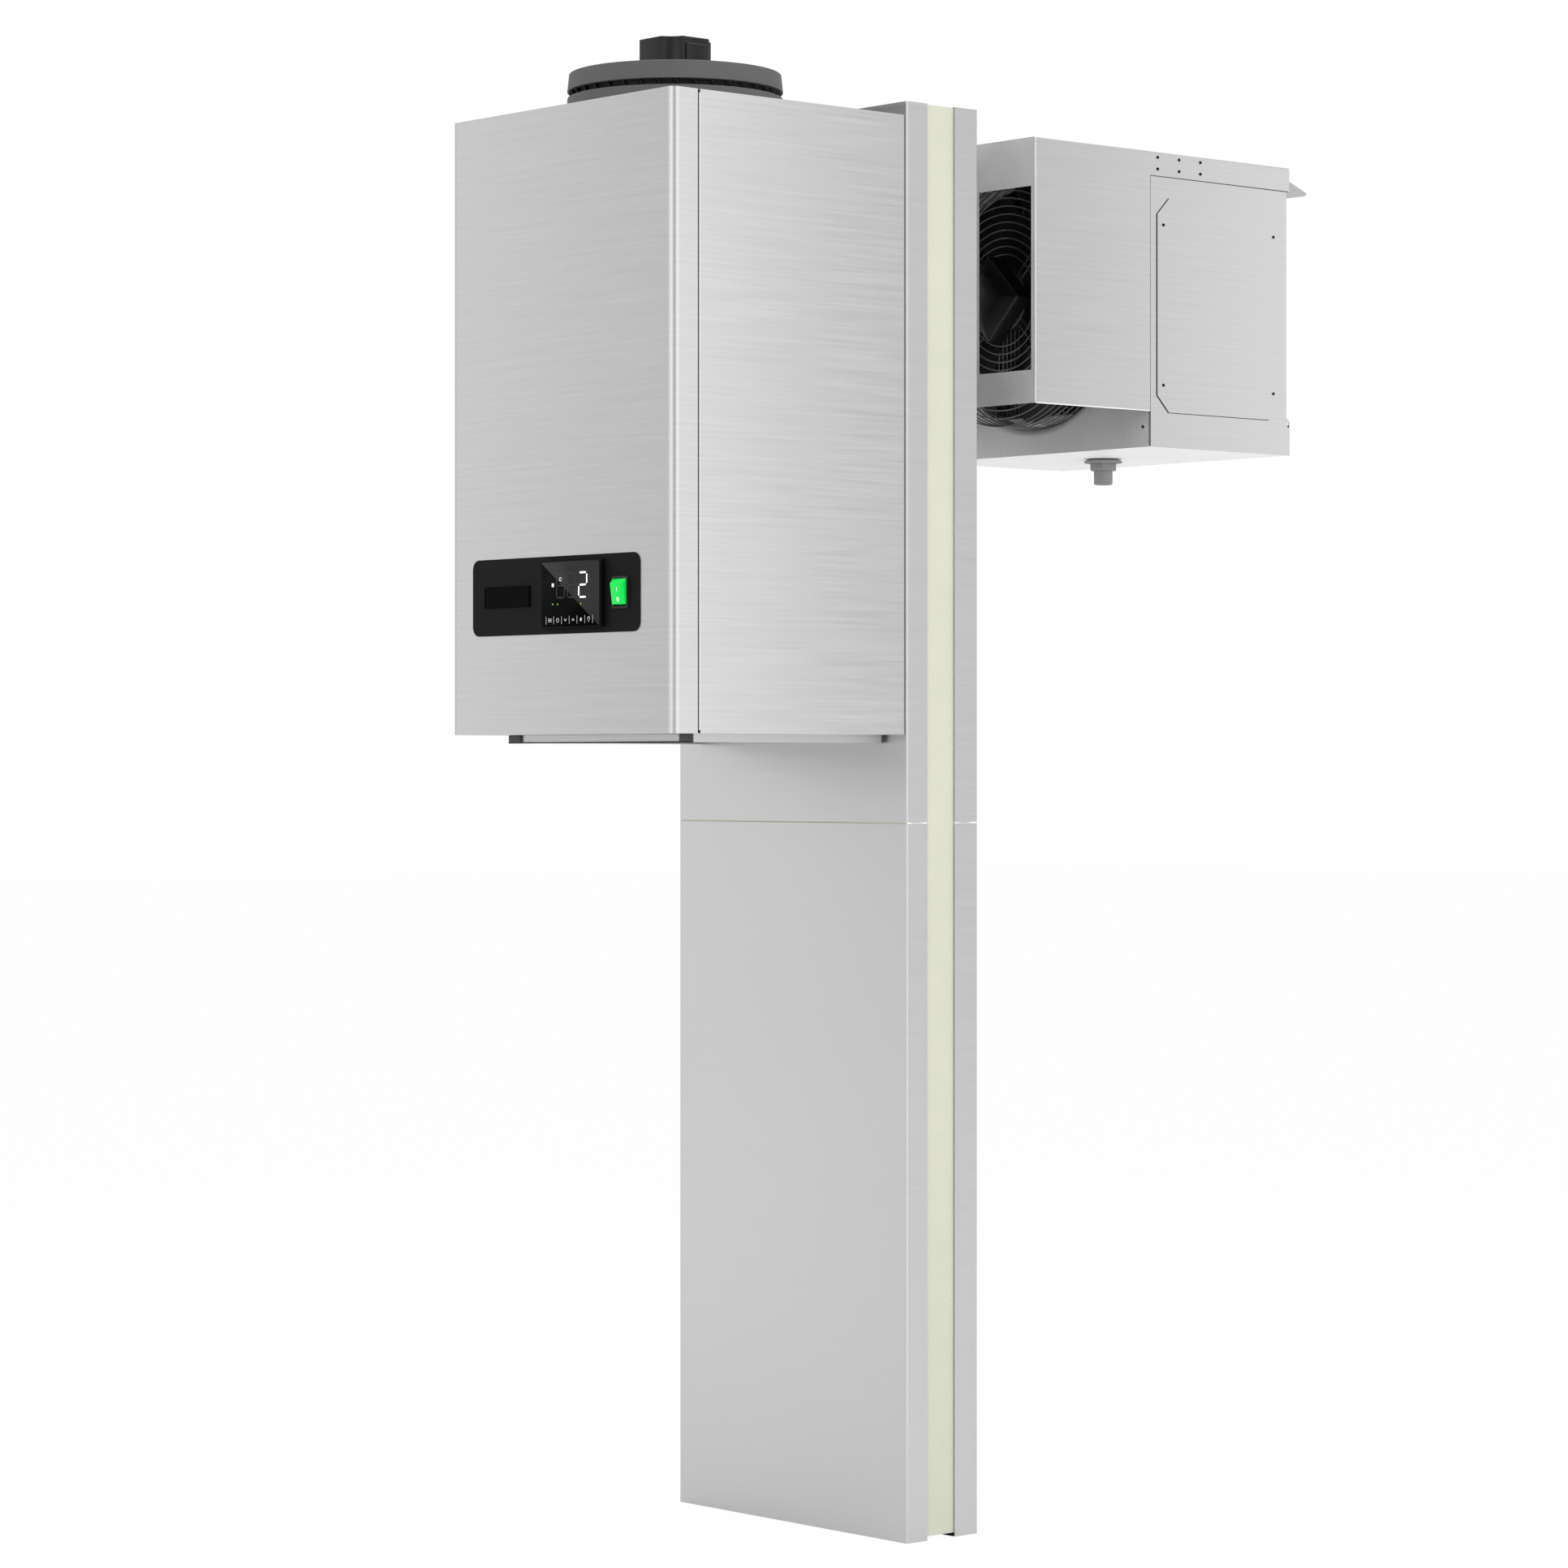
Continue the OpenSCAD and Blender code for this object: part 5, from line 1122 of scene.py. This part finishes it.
print(rocker.name, [round(v, 4) for v in rocker.dimensions])


# %% Marks on the rocker
ROCKER_MARK_LIFT = 0.00012


def rocker_mark(corners):
    """A flat mark on the lower face of the rocker, given in X and Z."""
    slope = (FOOT_FACE - RIDGE_FACE) / (RIDGE_HEIGHT - ROCKER_FOOT)
    face = FOOT_FACE - ROCKER_MARK_LIFT
    mesh = bpy.data.meshes.new("mark")
    spots = [(x, face - slope * (z - ROCKER_FOOT), z) for x, z in corners]
    mesh.from_pydata(spots, [], [tuple(range(len(spots)))])
    if mesh.polygons[0].normal.y > 0:
        mesh.flip_normals()
    mark = bpy.data.objects.new("mark", mesh)
    bpy.context.scene.collection.objects.link(mark)
    return mark


middle = (low.x + high.x) / 2
ON_HALF = 0.0005
ON_FOOT = 1.1672
ON_TOP = 1.1718
OFF_HEIGHT = 1.1572
OFF_BORE = 0.0017
OFF_RADIUS = 0.0028
OFF_SQUEEZE = 0.8
OFF_STEPS = 20
on_corners = ((-ON_HALF, ON_FOOT), (ON_HALF, ON_FOOT), (ON_HALF, ON_TOP), (-ON_HALF, ON_TOP))
marks = [rocker_mark([(middle + x, z) for x, z in on_corners])]
for i in range(OFF_STEPS):
    a, b = (2 * math.pi * k / OFF_STEPS for k in (i, i + 1))
    ring_corners = ((OFF_BORE, a), (OFF_RADIUS, a), (OFF_RADIUS, b), (OFF_BORE, b))
    marks.append(rocker_mark([
        (middle + r * OFF_SQUEEZE * math.cos(t), OFF_HEIGHT + r * math.sin(t))
        for r, t in ring_corners]))
switch_marks = finish_with(join_all("switch_marks", marks), mark_white)
ride_on("rocker", "rocker_green", switch_marks)
print(switch_marks.name)

# %% [markdown]
# ## Sheet-metal seams and edges
# Panels meet with a narrow shadow line, and folded edges catch the light. Both are only about a
# millimetre wide, so they are painted on as thin beads: black beads of painted shade in the joints
# and bright beads of painted highlight along the folds.

# %% Housing seams, each a black bead of painted shade in the slit
SEAM_IN, SEAM_OUT = 0.2146, 0.2157
SEAM_Y0, SEAM_Y1 = -0.3948, -0.3935
SEAM_Z0, SEAM_Z1 = 0.9976, 1.7604
THIN_EDGE = 0.0003
seams = []
for side in (-1, 1):
    near, far = sorted((side * SEAM_IN, side * SEAM_OUT))
    seams.append(rounded_block((near, SEAM_Y0, SEAM_Z0), (far, SEAM_Y1, SEAM_Z1), THIN_EDGE, 2))
housing_seam_shade = finish_with(join_all("housing_seam_shade", seams), seal_and_painted_shade_black)
ride_on("unit", "rubber", housing_seam_shade)
print(housing_seam_shade.name)

# %% Beads of painted shade round the coil panels and covers
COVER_LOW, COVER_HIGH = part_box("access_covers")
CORNER_CUT = 0.0215
COVER_STOP = 0.02
STRIP_FOOT = 1.7240
COIL_SIDE = 0.2139
COVER_SIDE = 0.2140
COIL_Y0, COIL_Y1 = 0.3728, 0.6350
COIL_Z0 = 1.3730
SHADE_BEAD_SINK = 0.0005
COVER_SINK = 0.0002
beads = []
for side in (-1, 1):
    skin = side * COIL_SIDE
    top = STRIP_FOOT - SHADE_BEAD_SINK
    # A thin black bead along the coil panel's edge and top paints the shade of the step.
    coil_route = [(skin, COIL_Y0, COIL_Z0), (skin, COIL_Y0, top), (skin, COIL_Y1, top)]
    beads.append(bent_wire(coil_route, 0.0004, 1))
    outer = side * COVER_SIDE
    y0 = COVER_LOW.y - COVER_SINK
    z0 = COVER_LOW.z - COVER_SINK
    z1 = COVER_HIGH.z
    # On each cover the bead runs only along the left edge, its chamfers and most of the bottom edge: a
    # painted shadow.
    cover_route = [(outer, COVER_HIGH.y - COVER_STOP, z0), (outer, y0 + CORNER_CUT, z0),
                   (outer, y0, z0 + CORNER_CUT), (outer, y0, z1 - CORNER_CUT),
                   (outer, y0 + CORNER_CUT, z1)]
    beads.append(bent_wire(cover_route, 0.0006, 1))
panel_shade_beads = finish_with(join_all("panel_shade_beads", beads), seal_and_painted_shade_black)
ride_on("unit", "rubber", panel_shade_beads)
print(panel_shade_beads.name, len(panel_shade_beads.data.polygons), "faces")

# %% Strips in the joints of the wall skins, in bright steel as a painted highlight
JOINT_HALF = 0.2179
JOINT_Z0, JOINT_Z1 = 0.8869, 0.8891
JOINT_DEPTHS = ((-0.0590, -0.0262), (0.0217, 0.0590))
strips = []
for near, far in JOINT_DEPTHS:
    low = (-JOINT_HALF, near, JOINT_Z0)
    high = (JOINT_HALF, far, JOINT_Z1)
    strips.append(rounded_block(low, high, THIN_EDGE, 2))
# Bright steel strips: a painted highlight along the joints.
joint_strips = finish_with(join_all("wall_joint_strips", strips), painted_highlight_steel)
ride_on("unit", "panel_steel", joint_strips)
print(joint_strips.name)

# %% Hems of the hood, as bright beads of painted highlight
HOOD_FOOT = 1.4190
HOOD_TOP = 1.7546
HOOD_END = 0.3712
REAR_HEM = 0.0008
FOOT_HEM = 0.0012
hems = []
for side in (-1, 1):
    edge = side * COIL_SIDE
    hems.append(bent_wire([(edge, 0.1651, HOOD_FOOT), (edge, 0.1651, HOOD_TOP)], REAR_HEM))
    hems.append(bent_wire([(edge, 0.1655, HOOD_FOOT), (edge, HOOD_END, HOOD_FOOT)], FOOT_HEM))
hood_hem_highlights = soften(finish_with(join_all("hood_hem_highlights", hems), painted_highlight_steel))
ride_on("unit", "brushed_steel", hood_hem_highlights)
print(hood_hem_highlights.name)

# %% [markdown]
# ## Air filter
# The filter slides in two rails under the base. Its front bar has dark end blocks to pull it by
# and a black strip along its foot, and its mesh is woven from fine wire.

# %% Filter front
FRONT = -0.3700
BAR_HALF = 0.1780
BLOCK_START = 0.1545
PLUG_START = 0.1745
blocks = []
for side in (-1, 1):
    near, far = sorted((side * BLOCK_START, side * BAR_HALF))
    blocks.append(rounded_block((near, FRONT - 0.0030, 0.9870), (far, FRONT - 0.0001, 0.9968), 0.0006, 3))
end_blocks = finish_with(join_all("filter_end_blocks", blocks), block_grey)
black_strip_low = (-BAR_HALF, FRONT - 0.0032, 0.9866)
black_strip_high = (BAR_HALF, FRONT - 0.0001, 0.9880)
front_black_strip = settle(rounded_block(black_strip_low, black_strip_high, 0.0004, 2), "filter_front_black_strip")
finish_with(front_black_strip, seal_and_painted_shade_black)
ride_on("air_filter", "grey_plastic", end_blocks)
ride_on("air_filter", "rubber", front_black_strip)

plugs = []
for side in (-1, 1):
    near, far = sorted((side * PLUG_START, side * BAR_HALF))
    plugs.append(rounded_block((near, -0.0661, 0.9872), (far, -0.0622, 0.9969), 0.0005, 2))
rail_plugs = finish_with(join_all("rail_end_plugs", plugs), block_grey)
ride_on("unit", "grey_plastic", rail_plugs)
print(end_blocks.name, rail_plugs.name)

# %% Woven mesh
MESH_X, MESH_Y0, MESH_Y1, MESH_Z = 0.1477, -0.3540, -0.0820, 0.9926
PITCH = 0.0068
WEAVE = 0.0003
MESH_WIRE = 0.0004


def woven_wire(length):
    """A wire that goes over and under its neighbours, along X from the origin."""
    count = int(round(length / PITCH))
    route = [Vector((i * length / count, 0, WEAVE * (1 if i % 2 else -1))) for i in range(count + 1)]
    return bent_wire(route, MESH_WIRE, 0)


across_wire = woven_wire(2 * MESH_X)
along_wire = woven_wire(MESH_Y1 - MESH_Y0)
weave = []
mesh_depth = MESH_Y1 - MESH_Y0
rows = int(round(mesh_depth / PITCH))
for i in range(1, rows):
    turn = (math.pi, 0, 0) if i % 2 else (0, 0, 0)
    place = (-MESH_X, MESH_Y0 + i * mesh_depth / rows, MESH_Z)
    weave.append(copy_to(across_wire, "across", turn, place))
columns = int(round(2 * MESH_X / PITCH))
for i in range(1, columns):
    place = (-MESH_X + i * 2 * MESH_X / columns, MESH_Y0, MESH_Z)
    weave.append(copy_to(along_wire, "along", (0, 0, math.pi / 2), place))
bpy.data.objects.remove(across_wire)
bpy.data.objects.remove(along_wire)
woven_mesh = finish_with(join_all("woven_mesh", weave), wire_metal)
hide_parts("filter_mesh")
ride_on("air_filter", "filter_wire", woven_mesh)
print(woven_mesh.name, len(woven_mesh.data.polygons), "faces")

# %% [markdown]
# ## Turned fittings
# The cord gland and the drain are turned shapes with a bore through them. Half of the section is
# drawn as a closed outline, in millimetres, and spun round its axis; six steps of spin instead of
# forty-eight give a hexagon nut.


# %% Turning helper
def turned(section, steps=48):
    """Spins a closed section of radius and height round Z, and closes the seam."""
    mesh = bpy.data.meshes.new("section")
    count = len(section)
    spots = [(r * MM, 0, h * MM) for r, h in section]
    mesh.from_pydata(spots, [(i, (i + 1) % count) for i in range(count)], [])
    piece = bpy.data.objects.new("turned", mesh)
    bpy.context.scene.collection.objects.link(piece)
    take(piece)
    bpy.ops.object.mode_set(mode="EDIT")
    bpy.ops.mesh.select_all(action="SELECT")
    bpy.ops.mesh.spin(steps=steps, angle=2 * math.pi, center=(0, 0, 0), axis=(0, 0, 1))
    bpy.ops.mesh.select_all(action="SELECT")
    bpy.ops.mesh.remove_doubles(threshold=1e-6)
    bpy.ops.mesh.normals_make_consistent(inside=False)
    end_edit()
    return piece


print("turning helper ready")

# %% Ring of the roof fan
RING_FOOT = 1.7928
RIB_COUNT = 36
RIB_TILT = math.radians(25)
RIB_TURN = math.radians(35)
RIB_PLACE = 0.1284
RIB_LOW = (-0.0034, -0.0007, -0.0079)
RIB_HIGH = (0.0034, 0.0007, 0.0002)
ring_section = ((133.5, 0), (133.9, 0.5), (131.7, 21.4), (131.2, 22.0), (130.6, 22.2),
                (122.0, 22.2), (122.0, 19.2), (128.5, 19.2), (130.9, 3.0), (122.0, 3.0),
                (122.0, 0))
roof_ring = turned(ring_section, 128)
roof_ring.location = (0, ROOF_FAN.y, RING_FOOT)
soften(finish_with(settle(roof_ring, "roof_ring"), grey_plastic), 25)
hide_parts("fan_ring")
ribs = []
for i in range(RIB_COUNT):
    angle = 2 * math.pi * i / RIB_COUNT
    rib = rounded_block(RIB_LOW, RIB_HIGH, 0.0002, 2)
    rib.rotation_euler = (RIB_TILT, 0, angle + RIB_TURN)
    rib_x = RIB_PLACE * math.cos(angle)
    rib_y = ROOF_FAN.y + RIB_PLACE * math.sin(angle)
    rib.location = (rib_x, rib_y, RING_FOOT)
    ribs.append(rib)
slot_ribs = finish_with(join_all("slot_ribs", ribs), gland_black)
liner = turned(((123.6, -7.7), (124.6, -7.7), (124.6, -0.1), (123.6, -0.1)), 96)
liner.location = (0, ROOF_FAN.y, RING_FOOT)
finish_with(settle(liner, "slot_liner"), seal_and_painted_shade_black)
ride_on("unit", "grey_plastic", roof_ring, slot_ribs)
ride_on("unit", "rubber", liner)
print(roof_ring.name, slot_ribs.name, liner.name)

# %% Cord gland
KNURL_STEP = 7.5
cap_section = ((4.5, 0), (9.0, 0), (9.6, 0.6), (9.6, 9.5), (8.0, 9.5), (8.0, 14.0),
               (10.6, 14.0), (11.0, 14.5), (11.0, 20.5), (10.3, 21.3), (10.3, 30.5),
               (9.6, 33.0), (7.4, 35.6), (6.0, 36.0), (4.5, 36.0))
cap = turned(cap_section, 48)


def on_knurl(centre, normal):
    """Every second face round the cap's grip."""
    if not 0.0214 < centre.z < 0.0304 or math.hypot(centre.x, centre.y) <= 0.009:
        return False
    step = math.degrees(math.atan2(centre.y, centre.x)) / KNURL_STEP
    return int(round(step - 0.5)) % 2 == 0


edit_faces(cap, on_knurl)
bpy.ops.mesh.extrude_region_shrink_fatten(TRANSFORM_OT_shrink_fatten={"value": 0.0005})
end_edit()
nut_section = ((8.2, 14.6), (12.0, 14.6), (12.6, 15.2), (12.6, 19.6), (12.0, 20.2), (8.2, 20.2))
nut = turned(nut_section, 6)
gland = join_all("cord_gland", [cap, nut])
gland.rotation_euler = (0, math.radians(-90), 0)
gland.location = (-0.2015, -0.110, 1.040)
soften(finish_with(settle(gland), gland_black), 30)
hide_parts("cable_gland")
ride_on("unit", "black_plastic", gland)

# %% Drain fitting
drain_section = ((9.5, 0), (11.6, 0), (12.5, 1.0), (12.5, 18.7), (15.0, 18.7), (15.0, 28.5),
                 (25.0, 28.9), (25.5, 29.6), (25.5, 31.0), (24.6, 32.2), (17.5, 34.5),
                 (9.5, 34.5))
body = turned(drain_section, 64)
hexagon_section = ((12.4, 18.9), (18.6, 18.9), (19.6, 19.9), (19.6, 28.9), (12.4, 28.9))
hexagon = turned(hexagon_section, 6)
hexagon.rotation_euler = (0, 0, math.radians(12))
drain = join_all("drain_fitting_turned", [body, hexagon])
drain.location = (0, 0.5017, 1.3380)
soften(finish_with(settle(drain), drain_plastic), 30)
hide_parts("drain_fitting")
ride_on("tray", "white_plastic", drain)
print(drain.name, [round(v, 4) for v in drain.dimensions])
